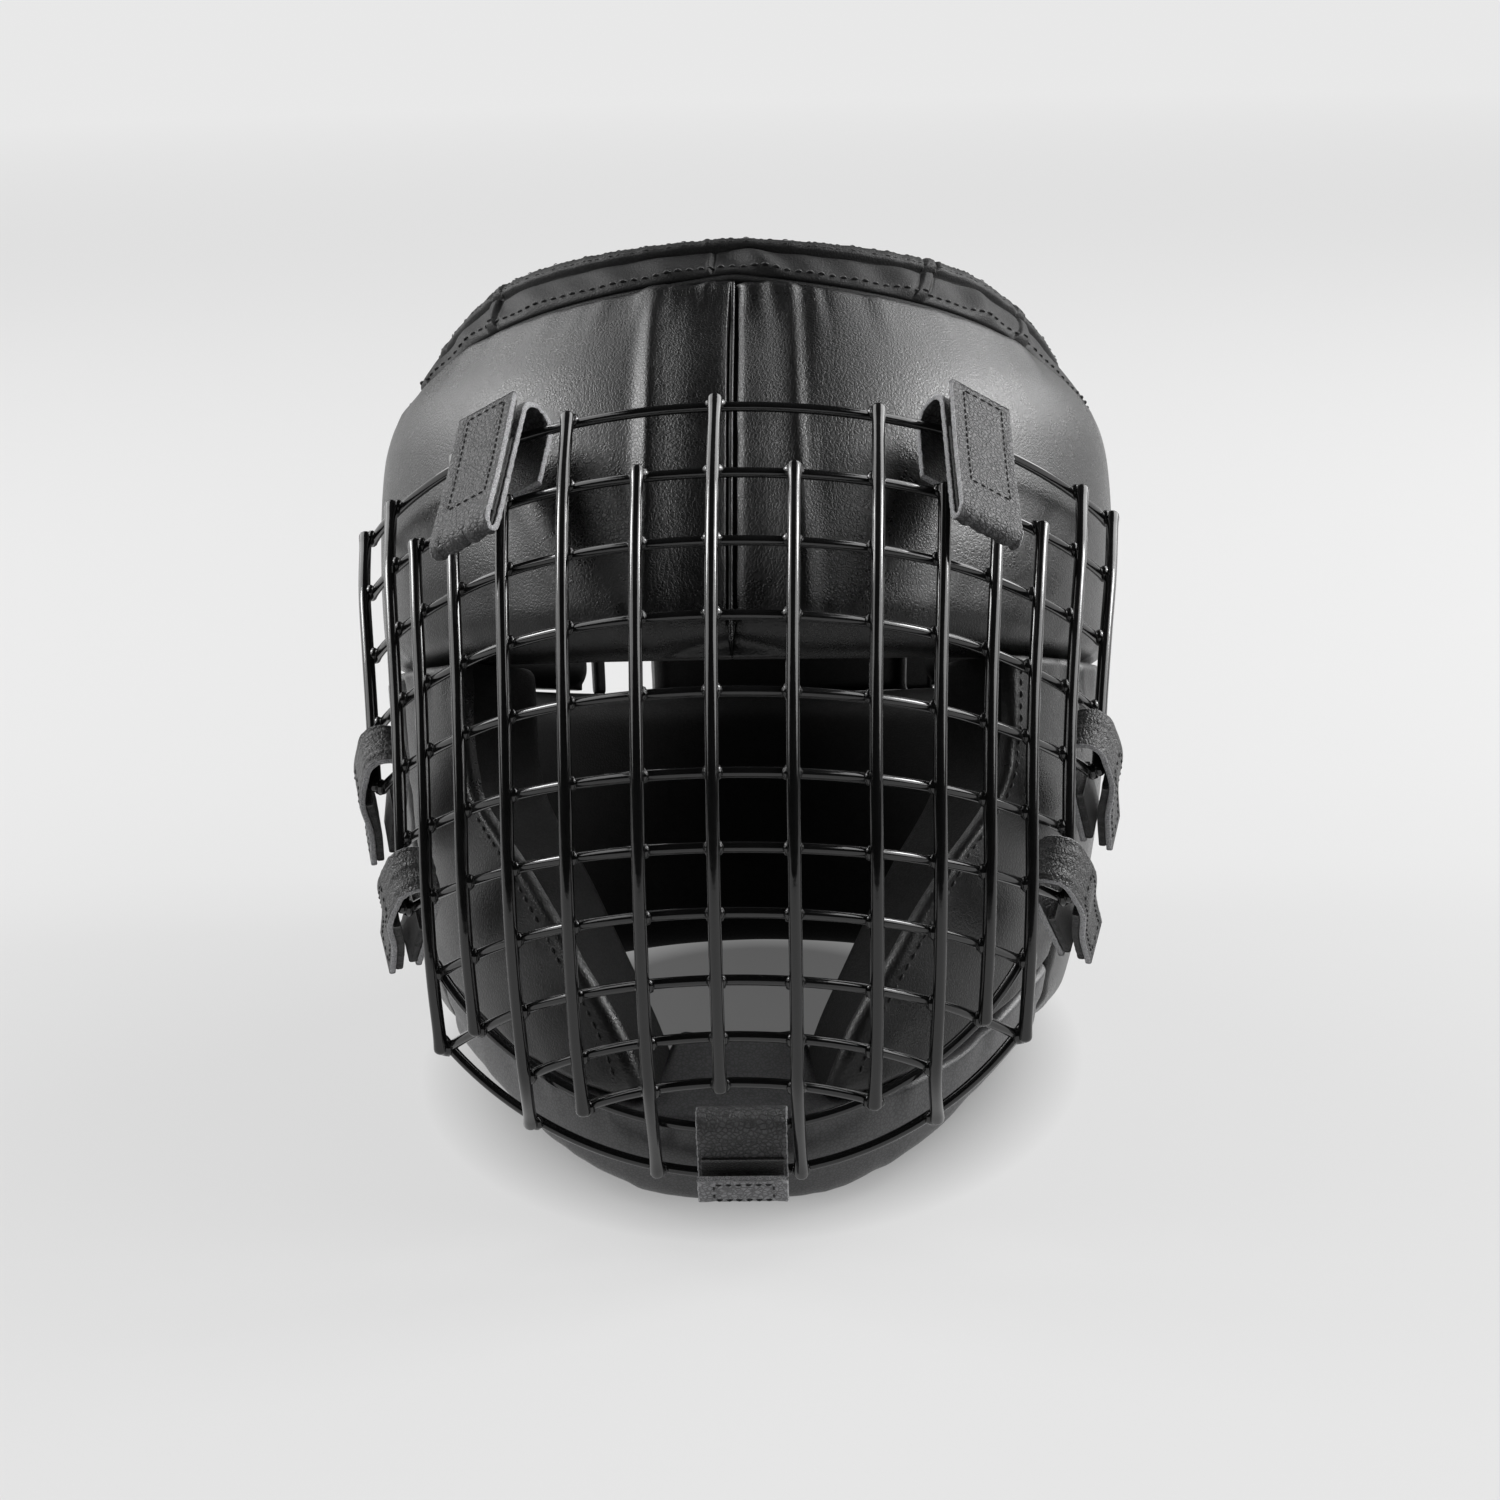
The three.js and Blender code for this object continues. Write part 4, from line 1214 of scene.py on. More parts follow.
@dataclass(frozen=True)
class Grille:
    """The welded wire grille with its dip coating."""

    upright_radius: float = 1.8
    cross_radius: float = 1.4
    weld_depth: float = 0.5
    tail: float = 4.0
    upright_tail: float = 1.5
    foot_lean: float = 0.8
    arc_radius: float = 138.3
    arc_y: float = -32.1
    arc_z: float = -12.8
    side_radius: float = 210.0
    side_bend: float = 50.0
    sides: int = 14
    step: float = 2.5
    swell: float = 0.18
    middle: int = 7
    columns: tuple[float, ...] = (
        -153.5, -127.1, -108.5, -86.6, -65, -44.4, -23.2, -3.2,
        18, 40.9, 61.3, 81.1, 101.9, 124.2, 147,
    )
    rows: tuple[CrossWire, ...] = (
        CrossWire(49.9, 98.7, 15.6, 0.997, 7),
        CrossWire(38.3, 94.4, 14.1, 0.986, 7),
        CrossWire(28.8, 89.7, 14.1, 0.972, 7),
        CrossWire(19.8, 86, 14.5, 0.956, 7),
        CrossWire(11.3, 84.2, 13.5, 0.942, 7),
        CrossWire(2.7, 83.3, 13, 0.934, 6),
        CrossWire(-5.1, 82.7, 13.2, 0.933, 6),
        CrossWire(-12, 79.9, 17.7, 0.933, 5),
        CrossWire(-19.4, 75.8, 20.7, 0.931, 5),
        CrossWire(-26, 71, 26.5, 0.929, 3),
        CrossWire(-31.8, 66.1, 32.2, 0.921, 2),
    )
    uprights: tuple[Upright, ...] = (
        Upright(0, 0, 10, None),
        Upright(1, 1, 10, OUTER_RIM),
        Upright(2, 0, 10, None),
        Upright(3, 1, 9, OUTER_RIM),
        Upright(4, 0, 8, None),
        Upright(5, 1, 8, None),
        Upright(6, 0, 6, None),
        Upright(7, 0, 4, None),
    )
    bead_reach: Point = (2.9, 2.5, 1.7)
    bead_out: float = 1.2
    foot_bead_in: float = 1.5
    bead_rings: int = 5
    bead_sides: int = 8

    def place(self, column: Array) -> Array:
        """How far along a cross wire a column stands, also between two columns and past the last."""
        places = np.array(self.columns)
        i = np.clip(np.floor(column + self.middle).astype(int), 0, len(places) - 2)
        return places[i] + (places[i + 1] - places[i]) * (column + self.middle - i)

    def along(self, row: int, place: Array) -> Array:
        """Points of a cross wire: a tight arc across the front that runs on into a wide arc on each side.

        Args:
            row: The cross wire's number from the top.
            place: Distances along it from the centre.

        Returns:
            Points of the upright guard.
        """
        wire = self.rows[row]
        place = np.asarray(place, float) * wire.spread
        bend = np.radians(self.side_bend)
        s, turn = np.abs(place), wire.bend * bend
        front = np.minimum(s, turn) / wire.bend
        side = bend + np.maximum(0, s - turn) / self.side_radius
        x = wire.bend * np.sin(front) + self.side_radius * (np.sin(side) - np.sin(bend))
        depth = wire.bend * (1 - np.cos(front)) + self.side_radius * (np.cos(bend) - np.cos(side))
        rise, slope = np.radians(wire.rise), np.radians(wire.droop)
        y = self.arc_y - self.arc_radius * np.cos(rise) + depth * np.cos(slope)
        z = self.arc_z + self.arc_radius * np.sin(rise) - depth * np.sin(slope)
        return np.stack([np.sign(place) * x, y, z], -1)

    def point(self, row: int, column: float) -> Array:
        """The crossing of a cross wire and a column."""
        return self.along(row, self.place(np.array(column)))

    def across(self, row: int, column: float) -> Array:
        """A short step along a cross wire at a crossing."""
        return self.point(row, column + 0.2) - self.point(row, column - 0.2)

    def normal(self, row: int, column: float) -> Array:
        """The grille's outward direction at a crossing."""
        above, below = max(0, row - 1), min(len(self.rows) - 1, row + 1)
        upward = self.point(above, column) - self.point(below, column)
        return unit(np.cross(self.across(row, column), upward))

    def rim_arc(self, rim: Rim, side: Array) -> tuple[Array, Array, Array]:
        """A rim wire's arc on a side of the centre.

        Args:
            rim: The rim.
            side: Values whose sign gives the side.

        Returns:
            The way it rises, its radius, and its turn from middle to end.
        """
        left, right = self.point(rim.row, -rim.column), self.point(rim.row, rim.column)
        end = np.where((side < 0)[..., None], left, right)
        rise = (end - np.array([0, rim.y, rim.z])) * [0, 1, 1]
        climb = np.linalg.norm(rise, axis=-1)
        radius = (end[..., 0] ** 2 + climb**2) / (2 * climb)
        return unit(rise), radius, np.arcsin(np.minimum(1, np.abs(end[..., 0]) / radius))

    def rim_point(self, rim: Rim, t: Array) -> Array:
        """Points of a rim wire: an arc on each side, from its middle to the end of a cross wire.

        Args:
            rim: The rim.
            t: Shares of the way from the middle to the right end, negative to the left.

        Returns:
            Points of the upright guard.
        """
        t = np.asarray(t, float)
        rise, radius, turn = self.rim_arc(rim, t)
        angle = turn * np.abs(t)
        points = np.array([0, rim.y, rim.z]) + rise * (radius * (1 - np.cos(angle)))[..., None]
        points[..., 0] = np.where(t < 0, -1, 1) * radius * np.sin(angle)
        return points

    def rim_aside(self, rim: Rim, x: float) -> Array:
        """The point of a rim wire at a distance to the side of its middle."""
        _, radius, turn = self.rim_arc(rim, np.array(x))
        return self.rim_point(rim, np.arcsin(x / radius) / turn)

    def stands(self) -> list[tuple[Upright, int]]:
        """Each upright with the sign of its side, the centre one once."""
        signs = {True: (1, -1), False: (1,)}
        return [(upright, side) for upright in self.uprights for side in signs[upright.column > 0]]

    def crossings(self, upright: Upright, side: int) -> Array:
        """Where an upright's middle line passes its cross wires and its rim.

        Args:
            upright: The upright.
            side: The sign of X.

        Returns:
            Points from top to foot.
        """
        stand = self.upright_radius + self.cross_radius - self.weld_depth
        column = side * upright.column
        rows = range(upright.first, upright.last + 1)
        points = [self.point(row, column) + self.normal(row, column) * stand for row in rows]
        if upright.foot:
            aside = points[-1][0] + self.foot_lean * (points[-1][0] - points[-2][0])
            foot = self.rim_aside(upright.foot, aside)
            points.append(foot + self.normal(upright.last, column) * stand)
        return np.array(points)

    @staticmethod
    def lengthened(path: Array, tail: float) -> Array:
        """A path carried on by a tail at both ends."""
        first = path[0] + unit(path[0] - path[1]) * tail
        last = path[-1] + unit(path[-1] - path[-2]) * tail
        return np.concatenate([[first], path, [last]])

    def wires(self) -> list[Shape]:
        """All wires: cross wires, rims, then uprights.

        Returns:
            The wires as closed rods.
        """
        shapes = []
        make = partial(rod, step=self.step, sides=self.sides, swell=self.swell)
        for row, wire in enumerate(self.rows):
            tails = np.array([-1, 1]) * self.tail / wire.spread
            ends = self.place(np.array([-wire.reach, wire.reach])) + tails
            path = self.along(row, np.linspace(ends[0], ends[1], 80))
            shapes.append(make(path, self.cross_radius, (0, 0, 1)))
        for rim in (INNER_RIM, OUTER_RIM):
            path = self.lengthened(self.rim_point(rim, np.linspace(-1, 1, 61)), self.tail)
            shapes.append(make(path, self.cross_radius, (0, 0.7, -0.7)))
        for upright, side in self.stands():
            path = self.lengthened(self.crossings(upright, side), self.upright_tail)
            shapes.append(make(path, self.upright_radius, (1, 0, 0)))
        return shapes

    def beads(self) -> Shape:
        """The coating gathered at each crossing: ellipsoids between the two wires.

        Returns:
            All beads as one shape.
        """
        places, ways = [], []
        for upright, side in self.stands():
            column = side * upright.column
            for row in range(upright.first, upright.last + 1):
                if upright.column > self.rows[row].reach:
                    continue
                out = self.normal(row, column)
                places.append(self.point(row, column) + out * self.bead_out)
                ways.append((unit(self.across(row, column)), out))
            if upright.foot:
                path = self.crossings(upright, side)
                out = self.normal(upright.last, column)
                places.append(path[-1] - out * self.foot_bead_in)
                ways.append((unit(np.cross(unit(path[-2] - path[-1]), out)), out))
        frames = np.array([np.stack([across, np.cross(out, across), out]) for across, out in ways])
        rings, sides = self.bead_rings, self.bead_sides
        polar = np.linspace(0, np.pi, rings + 2)[1:-1]
        turn = np.linspace(0, 2 * np.pi, sides, endpoint=False)
        p, t = np.meshgrid(polar, turn, indexing="ij")
        ball = np.stack([np.sin(p) * np.cos(t), np.sin(p) * np.sin(t), -np.cos(p)], -1).reshape(-1, 3)
        ball = np.concatenate([ball, [[0, 0, -1], [0, 0, 1]]]) * np.array(self.bead_reach)
        points = np.array(places)[:, None] + np.einsum("ka,nab->nkb", ball, frames)
        pole, first = rings * sides, np.arange(sides)
        last = first + pole - sides
        low = np.stack([np.full(sides, pole), np.roll(first, -1), first], -1)
        high = np.stack([np.full(sides, pole + 1), last, np.roll(last, -1)], -1)
        steps = np.arange(len(places))[:, None, None] * len(ball)
        return Shape(
            GUARD.set(points.reshape(-1, 3)),
            (grid_quads(rings, sides, closed_columns=True)[None] + steps).reshape(-1, 4),
            (np.concatenate([low, high])[None] + steps).reshape(-1, 3),
        )

    def build(self, material: Material) -> Object:
        """Makes and dresses the grille.

        Args:
            material: The coating.

        Returns:
            The piece, which stands for the CAD node grille.
        """
        piece = Shape.joined(self.wires() + [self.beads()]).piece("grille", [material])
        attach(piece, BODY)
        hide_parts("grille")
        return piece


GRILLE = Grille()


@dataclass(frozen=True)
class StrapPlace:
    """Where a strap lies: its origin and its own directions, in the upright guard."""

    origin: Array
    along: Array
    out: Array

    def frame(self) -> tuple[Array, Array, Array]:
        """The directions along, out and across, at right angles."""
        along = unit(self.along)
        across = unit(np.cross(along, self.out))
        return along, np.cross(across, along), across


def bend_path(
    along: float, out: float, reach: float, rise: float, turn: Pair, count: int
) -> Array:
    """Points of an oval bend in a strap's path, from one angle to another in degrees."""
    angle = np.radians(np.linspace(turn[0], turn[1], count))
    return np.stack([along + reach * np.cos(angle), out + rise * np.sin(angle)], -1)


class StrapFinish(IntEnum):
    """Finish numbers of a strap's faces."""

    LEATHER = 0
    RAW = 1
    THREAD = 2
    TAPE = 3
    FLAP = 4


class Layer(NamedTuple):
    """A strip that follows part of a strap's path: from and to along it, lift off it, width, thickness.

    A negative distance along counts back from the path's end.
    """

    start: float
    end: float
    lift: float
    width: float
    thickness: float


class Stitched(NamedTuple):
    """A stitched rectangle on a strap's flap: shares across, and distances along as in a layer."""

    left: float
    right: float
    start: float
    end: float


@dataclass
class Strap:
    """A flat leather strap folded along a path, with raw edges, stitching and hook-and-loop tape."""

    name: str
    place: StrapPlace
    path: Array
    width: float
    sewn: Stitched
    tapes: tuple[Layer, ...] = ()
    outer_side: int = -1
    thickness: float = 1.8
    step: float = 1.0
    cells: int = 24
    crinkle: float = 0.28
    groove: float = 0.3
    fray: float = 0.12
    edge_reach: float = 1.2
    flap: float = np.inf
    seed: int = 31

    def travelled(self) -> Array:
        """Distances along the path at its points."""
        return distances_along(self.path)

    def counted(self, *places: float) -> list[float]:
        """Distances along the path, with negative ones counted back from its end."""
        return [place if place >= 0 else self.travelled()[-1] + place for place in places]

    def bent(self, at: Array) -> Array:
        """How sharply the strap bends, from 0 to 1: the turn over a few millimetres, spread along it."""
        travelled = self.travelled()
        even = np.arange(0, travelled[-1], self.step)
        ahead = unit(np.gradient(eased(even, travelled, self.path), axis=0))
        turn = np.linalg.norm(np.gradient(ahead, even, axis=0), axis=1) * 4.0
        spread = np.exp(-((np.arange(-9, 10) / 4.0) ** 2))
        return np.interp(at, even, np.clip(np.convolve(turn, spread / spread.sum(), "same"), 0, 1))

    def laid(self, at: Array, across: Array, lift: Array) -> Array:
        """Points of the strap: along the path, across it, and lifted to its left.

        Args:
            at: Distances along the path.
            across: Distances across, one row for each distance along.
            lift: Distances to the left of the path, shaped as across.

        Returns:
            Points in metres of the row frame.
        """
        line = eased(at, self.travelled(), self.path)
        ahead = unit(np.gradient(line, at, axis=0))
        left = np.stack([-ahead[:, 1], ahead[:, 0]], -1)
        flat = line[:, None] + left[:, None] * lift[..., None]
        along, out, aside = self.place.frame()
        return GUARD.set(
            self.place.origin + flat[..., :1] * along + flat[..., 1:] * out + across[..., None] * aside
        )

    def section(self, width: float, thickness: float) -> Array:
        """A thin section with round edges.

        Args:
            width: Its width.
            thickness: Its thickness.

        Returns:
            Points across and up, round from its upper left.
        """
        half, edge = thickness / 2, thickness * 0.3
        flat = np.linspace(-width / 2 + edge, width / 2 - edge, self.cells)
        turn = np.radians([60, 30, 0])
        right = np.stack([flat[-1] + edge * np.cos(turn), half - edge + edge * np.sin(turn)], -1)
        top = np.stack([flat, np.full(self.cells, half)], -1)
        return np.concatenate([
            top, right, right[::-1] * [1, -1], top[::-1] * [1, -1], right * [-1, -1], right[::-1] * [-1, 1],
        ])

    def sunk(self, at: Array, across: Array) -> Array:
        """How far stitch lines pull the flap in: narrow grooves along the stitched rectangle.

        Args:
            at: Distances along the path.
            across: Distances across, one row for each distance along.

        Returns:
            Depths, shaped as across.
        """
        share = across / self.width + 0.5
        left, right = self.sewn[:2]
        start, end = self.counted(*self.sewn[2:])
        lines = np.minimum(np.abs(share - left), np.abs(share - right)) * self.width
        ends = np.minimum(np.abs(at - start), np.abs(at - end))[:, None]
        inside = (at > start - 1)[:, None] & (at < end + 1)[:, None]
        between = (share > left - 0.04) & (share < right + 0.04)
        near = np.minimum(np.where(inside, lines, 9), np.where(between, ends, 9))
        return self.groove * np.exp(-((near / 0.8) ** 2))

    def strip(self, layer: Layer, finish: StrapFinish) -> Shape:
        """A closed strip along part of the path, crinkled at bends and grooved where it is sewn.

        Args:
            layer: The strip.
            finish: The finish of its faces.

        Returns:
            The strip, with raw edges if it is leather.
        """
        start, end = self.counted(layer.start, layer.end)
        at = np.linspace(start, end, max(4, int((end - start) / self.step)))
        section = self.section(layer.width, layer.thickness)
        rows, columns = len(at), len(section)
        ragged = self.fray * waves(at[:, None] + 3.7 * np.sign(section[:, 0]), (1.9, 3.1, 5.3), self.seed)
        at_edge = np.abs(section[:, 0]) > layer.width / 2 - 0.5
        across = section[:, 0] + ragged * at_edge * np.sign(section[:, 0])
        lift = np.broadcast_to(section[:, 1] + layer.lift, (rows, columns))
        ripple = waves(across + 0.12 * at[:, None], (2.7, 4.1, 6.3), self.seed + 1)
        lift = lift + self.crinkle * self.bent(at)[:, None] * ripple
        if finish is StrapFinish.LEATHER:
            lift = lift - self.outer_side * self.sunk(at, across)
        points = self.laid(at, across, lift)
        quads = grid_quads(rows, columns, closed_columns=True)
        position = quads[:, 0] % columns
        right, left = position - self.cells, position - 2 * self.cells - 6
        raw = ((right >= 0) & (right < 5)) | ((left >= 0) & (left < 5))
        ring = np.roll(np.arange(columns), 3)
        upper, lower = ring[: self.cells + 6], ring[self.cells + 6:][::-1]
        ladder = np.stack([upper[:-1], upper[1:], lower[1:], lower[:-1]], -1)
        caps = np.concatenate([ladder, ladder[:, ::-1] + (rows - 1) * columns])
        if finish is StrapFinish.LEATHER:
            on_flap = at[quads[:, 0] // columns] > self.counted(self.flap)[0]
            face = np.where(on_flap, StrapFinish.FLAP, StrapFinish.LEATHER)
            ends = np.full(len(caps), StrapFinish.RAW)
            finishes = np.concatenate([np.where(raw, StrapFinish.RAW, face), ends])
        else:
            finishes = np.full(len(quads) + len(caps), finish)
        near = np.exp(-(((layer.width / 2 - np.abs(section[:, 0])) / self.edge_reach) ** 2))
        edge = np.broadcast_to(near, (rows, columns)).ravel()
        return Shape(points.reshape(-1, 3), np.concatenate([quads, caps]), finish=finishes, edge=edge)

    def stitches(self) -> Shape:
        """The stitched rectangle: two rows along the flap and one across each end.

        Returns:
            The stitches, in the thread's finish.
        """
        sewing = Stitching(pitch=2.5, length=1.9, radius=0.3, lift=0.16, sink=0.2)
        sides, ends = self.sewn[:2], self.counted(*self.sewn[2:])
        along, across = np.linspace(*ends, 60), np.linspace(*sides, 40)
        ways = [(along, np.full(60, side)) for side in sides]
        ways += [(np.full(40, end), across) for end in ends]
        high = self.outer_side * (self.thickness / 2 - self.groove * 0.6)
        rows = []
        for at, share in ways:
            aside = (share - 0.5) * self.width
            rows.append(sewing.row(self.spot(at, aside, high), self.facing(at, aside)))
        shape = Shape.joined(rows)
        shape.finish = np.full(len(shape.quads), StrapFinish.THREAD)
        return shape

    def spot(self, at: Array, aside: Array, lift: float) -> Array:
        """Single points on the strap.

        Args:
            at: Distances along the path.
            aside: Distances across.
            lift: Distance to the left of the path.

        Returns:
            Points in metres of the row frame.
        """
        before, line, after = (eased(at + step, self.travelled(), self.path) for step in (-0.3, 0, 0.3))
        ahead = unit(after - before)
        flat = line + np.stack([-ahead[:, 1], ahead[:, 0]], -1) * lift
        along, out, across = self.place.frame()
        laid = self.place.origin + flat[:, :1] * along + flat[:, 1:] * out + aside[:, None] * across
        return GUARD.set(laid)

    def facing(self, at: Array, aside: Array) -> Array:
        """Outward directions of the strap's outer side."""
        return unit(self.spot(at, aside, self.outer_side * 2.0) - self.spot(at, aside, 0.0))

    def build(self, materials: list[Material]) -> Object:
        """Makes and dresses the strap.

        Args:
            materials: The strap's leather, its raw edge, the thread, the tape and the worn flap.

        Returns:
            The piece, which stands for the CAD node of its name.
        """
        whole = Layer(0.0, self.travelled()[-1], 0.0, self.width, self.thickness)
        shapes = [self.strip(whole, StrapFinish.LEATHER), self.stitches()]
        shapes += [self.strip(tape, StrapFinish.TAPE) for tape in self.tapes]
        piece = Shape.joined(shapes).piece(self.name, materials)
        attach(piece, BODY)
        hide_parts(self.name)
        LOG.info("%s", self.name)
        return piece


class Level(Enum):
    """The two side straps on each side."""

    UPPER = "upper"
    LOWER = "lower"


class SidePlace(NamedTuple):
    """Where a side strap goes round: the crossing above it, its share of the way to the next, its slant."""

    row: int
    column: int
    drop: float
    slant: float


@dataclass
class StrapSet:
    """All straps that tie the grille to the guard.

    A path's points are distances along the strap's direction and out from the wire that it goes round.
    """

    width: float = 20.0
    side_width: float = 14.5
    chin_width: float = 24.0
    chin_shift: float = 1.5
    top_column: Pair = (3.0, 3.3)
    top_slide: Pair = (4.5, 2.0)
    top_lean: Pair = (0.115, 0.065)
    upper: SidePlace = SidePlace(3, 7, 0.73, 30)
    lower: SidePlace = SidePlace(5, 6, 0.75, 26)

    @staticmethod
    def hairpin(base: float, front: float, along: float, reach: float) -> Array:
        """The bend that takes a strap round a wire, from its base layer to its front layer."""
        return bend_path(along, (base + front) / 2, reach, (front - base) / 2, (270, 90), 9)

    def top(self, side: Side) -> Strap:
        """A forehead strap: up the forehead, over the top wire, down in front, and folded up again.

        Args:
            side: Which side.

        Returns:
            The strap.
        """
        hand = int(side is Side.RIGHT)
        column, slide = side * self.top_column[hand], self.top_slide[hand]
        origin = GRILLE.point(0, column)
        down = GRILLE.point(1, column) - origin
        down = down + np.array([side * self.top_lean[hand] * np.linalg.norm(down), 0, 0])
        path = np.concatenate([
            [[20, -4.4]],
            self.hairpin(-4.5, 6.6, -0.5, 6),
            bend_path(43.5 + slide, 8.6, 3.6, 2.0, (-90, 90), 7),
            [[20 + slide, 10.5], [-7 + slide, 11.2]],
        ])
        return Strap(
            f"top_strap_{side.word}", StrapPlace(origin, down, GRILLE.normal(0, column)), path, self.width,
            sewn=Stitched(0.16, 0.8, -40, -2.2),
            tapes=tuple(Layer(*ends, 1.45, self.width - 1.6, 0.9) for ends in ((-47, -1.2), (-94, -56))),
            seed=31 + side,
        )

    def side(self, level: Level, side: Side) -> Strap:
        """A side strap: forward from the side pad, round an upright and back along the outside.

        Args:
            level: Upper or lower.
            side: Which side.

        Returns:
            The strap.
        """
        row, column, drop, slant = self.upper if level is Level.UPPER else self.lower
        above, below = GRILLE.point(row, side * column), GRILLE.point(row + 1, side * column)
        backward = unit(GRILLE.point(row, side * (column + 0.5)) - above)
        turn = np.radians(slant)
        direction = backward * np.cos(turn) + unit(below - above) * np.sin(turn)
        path = np.concatenate([
            [[27, -7.4]],
            self.hairpin(-5, 6.2, -4.6, 5.5),
            [[6.5, 6], [18, 2], [31, -0.7]],
        ])
        place = StrapPlace(above + (below - above) * drop, direction, GRILLE.normal(row, side * column))
        return Strap(
            f"side_strap_{level.value}_{side.word}", place, path, self.side_width,
            sewn=Stitched(0.17, 0.83, -28, -2.5),
            tapes=(
                Layer(-24, -1.2, -2.0, self.side_width - 0.8, 2.2),
                Layer(1.0, 18.0, -1.9, self.side_width - 0.8, 2.0),
            ),
            outer_side=1, seed=41 + side + 5 * row,
        )

    def chin(self) -> Strap:
        """The chin strap: out from the chin bar, over the inner rim wire, down in front and folded up.

        Returns:
            The strap.
        """
        upper = GRILLE.rim_point(INNER_RIM, np.array(0.0))
        down = GRILLE.rim_point(OUTER_RIM, np.array(0.0)) - upper
        origin = upper * [0, 1, 1] + np.array([self.chin_shift, 0, 0])
        path = np.concatenate([
            [[3, -3.9]],
            self.hairpin(-4.2, 3.3, -1, 4.2),
            [[9, 3.4]],
            bend_path(17, 6.4, 2.2, 1.6, (-90, 90), 7),
            [[9.5, 9.2]],
        ])
        place = StrapPlace(origin, down, np.cross(down, [1.0, 0, 0]))
        return Strap(
            "chin_strap", place, path, self.chin_width, sewn=Stitched(0.16, 0.82, -8.5, -1.8),
            tapes=(Layer(-24, -14, 1.4, self.chin_width - 2, 0.9),), crinkle=0.06, flap=-11, seed=53,
        )

    def straps(self) -> list[Strap]:
        """All folded straps."""
        sides = [self.side(level, side) for side in Side for level in Level]
        return [self.top(side) for side in Side] + sides + [self.chin()]


Value = float | tuple[float, ...] | NodeSocket


@dataclass(frozen=True)
class Bench:
    """A node tree with short ways to add nodes and join them."""

    tree: NodeTree

    def add(self, kind: str, inputs: dict[str | int, Value], **settings: str | bool | NodeTree) -> Node:
        """Adds a node.

        Args:
            kind: The node's type, after "ShaderNode".
            inputs: A value, or a socket to join, for each named or numbered input.
            settings: The node's own properties.

        Returns:
            The node.
        """
        node = self.tree.nodes.new(f"ShaderNode{kind}")
        for key, value in settings.items():
            setattr(node, key, value)
        self.feed(node, inputs)
        return node

    def feed(self, node: Node, inputs: dict[str | int, Value]) -> None:
        """Sets inputs of a node.

        Args:
            node: The node.
            inputs: A value, or a socket to join, for each named or numbered input.
        """
        for key, value in inputs.items():
            if isinstance(value, NodeSocket):
                self.tree.links.new(value, node.inputs[key])
            else:
                node.inputs[key].default_value = value

    def math(self, operation: str, first: Value, second: Value = 0.0) -> NodeSocket:
        """The result of a sum on two values."""
        return self.add("Math", {0: first, 1: second}, operation=operation).outputs[0]

    def ranged(self, value: Value, low: float, high: float, start: float, end: float) -> NodeSocket:
        """A value carried from one range to another and held at its ends."""
        inputs = {"Value": value, "From Min": low, "From Max": high, "To Min": start, "To Max": end}
        return self.add("MapRange", inputs).outputs["Result"]

    def mixed(self, share: Value, first: Value, second: Value) -> NodeSocket:
        """A colour between two colours."""
        return self.add("Mix", {0: share, 6: first, 7: second}, data_type="RGBA").outputs[2]

    def noise(self, vector: Value, scale: Value, detail: float, **settings: str | bool) -> Node:
        """A noise texture."""
        return self.add("TexNoise", {"Vector": vector, "Scale": scale, "Detail": detail}, **settings)

    def bumped(self, height: Value, depth: float, under: Value | None = None) -> NodeSocket:
        """A normal bent by a height map of a depth in millimetres, over another normal if given."""
        inputs = {"Height": height, "Distance": depth * MM, "Strength": 1.0}
        if under is not None:
            inputs["Normal"] = under
        return self.add("Bump", inputs).outputs["Normal"]


class Effect(Enum):
    """Surface effects that several finishes share, each a shader node group."""

    GRAIN = "grain"
    HANDLING = "handling"
    CREASES = "creases"
    WEAR = "wear"


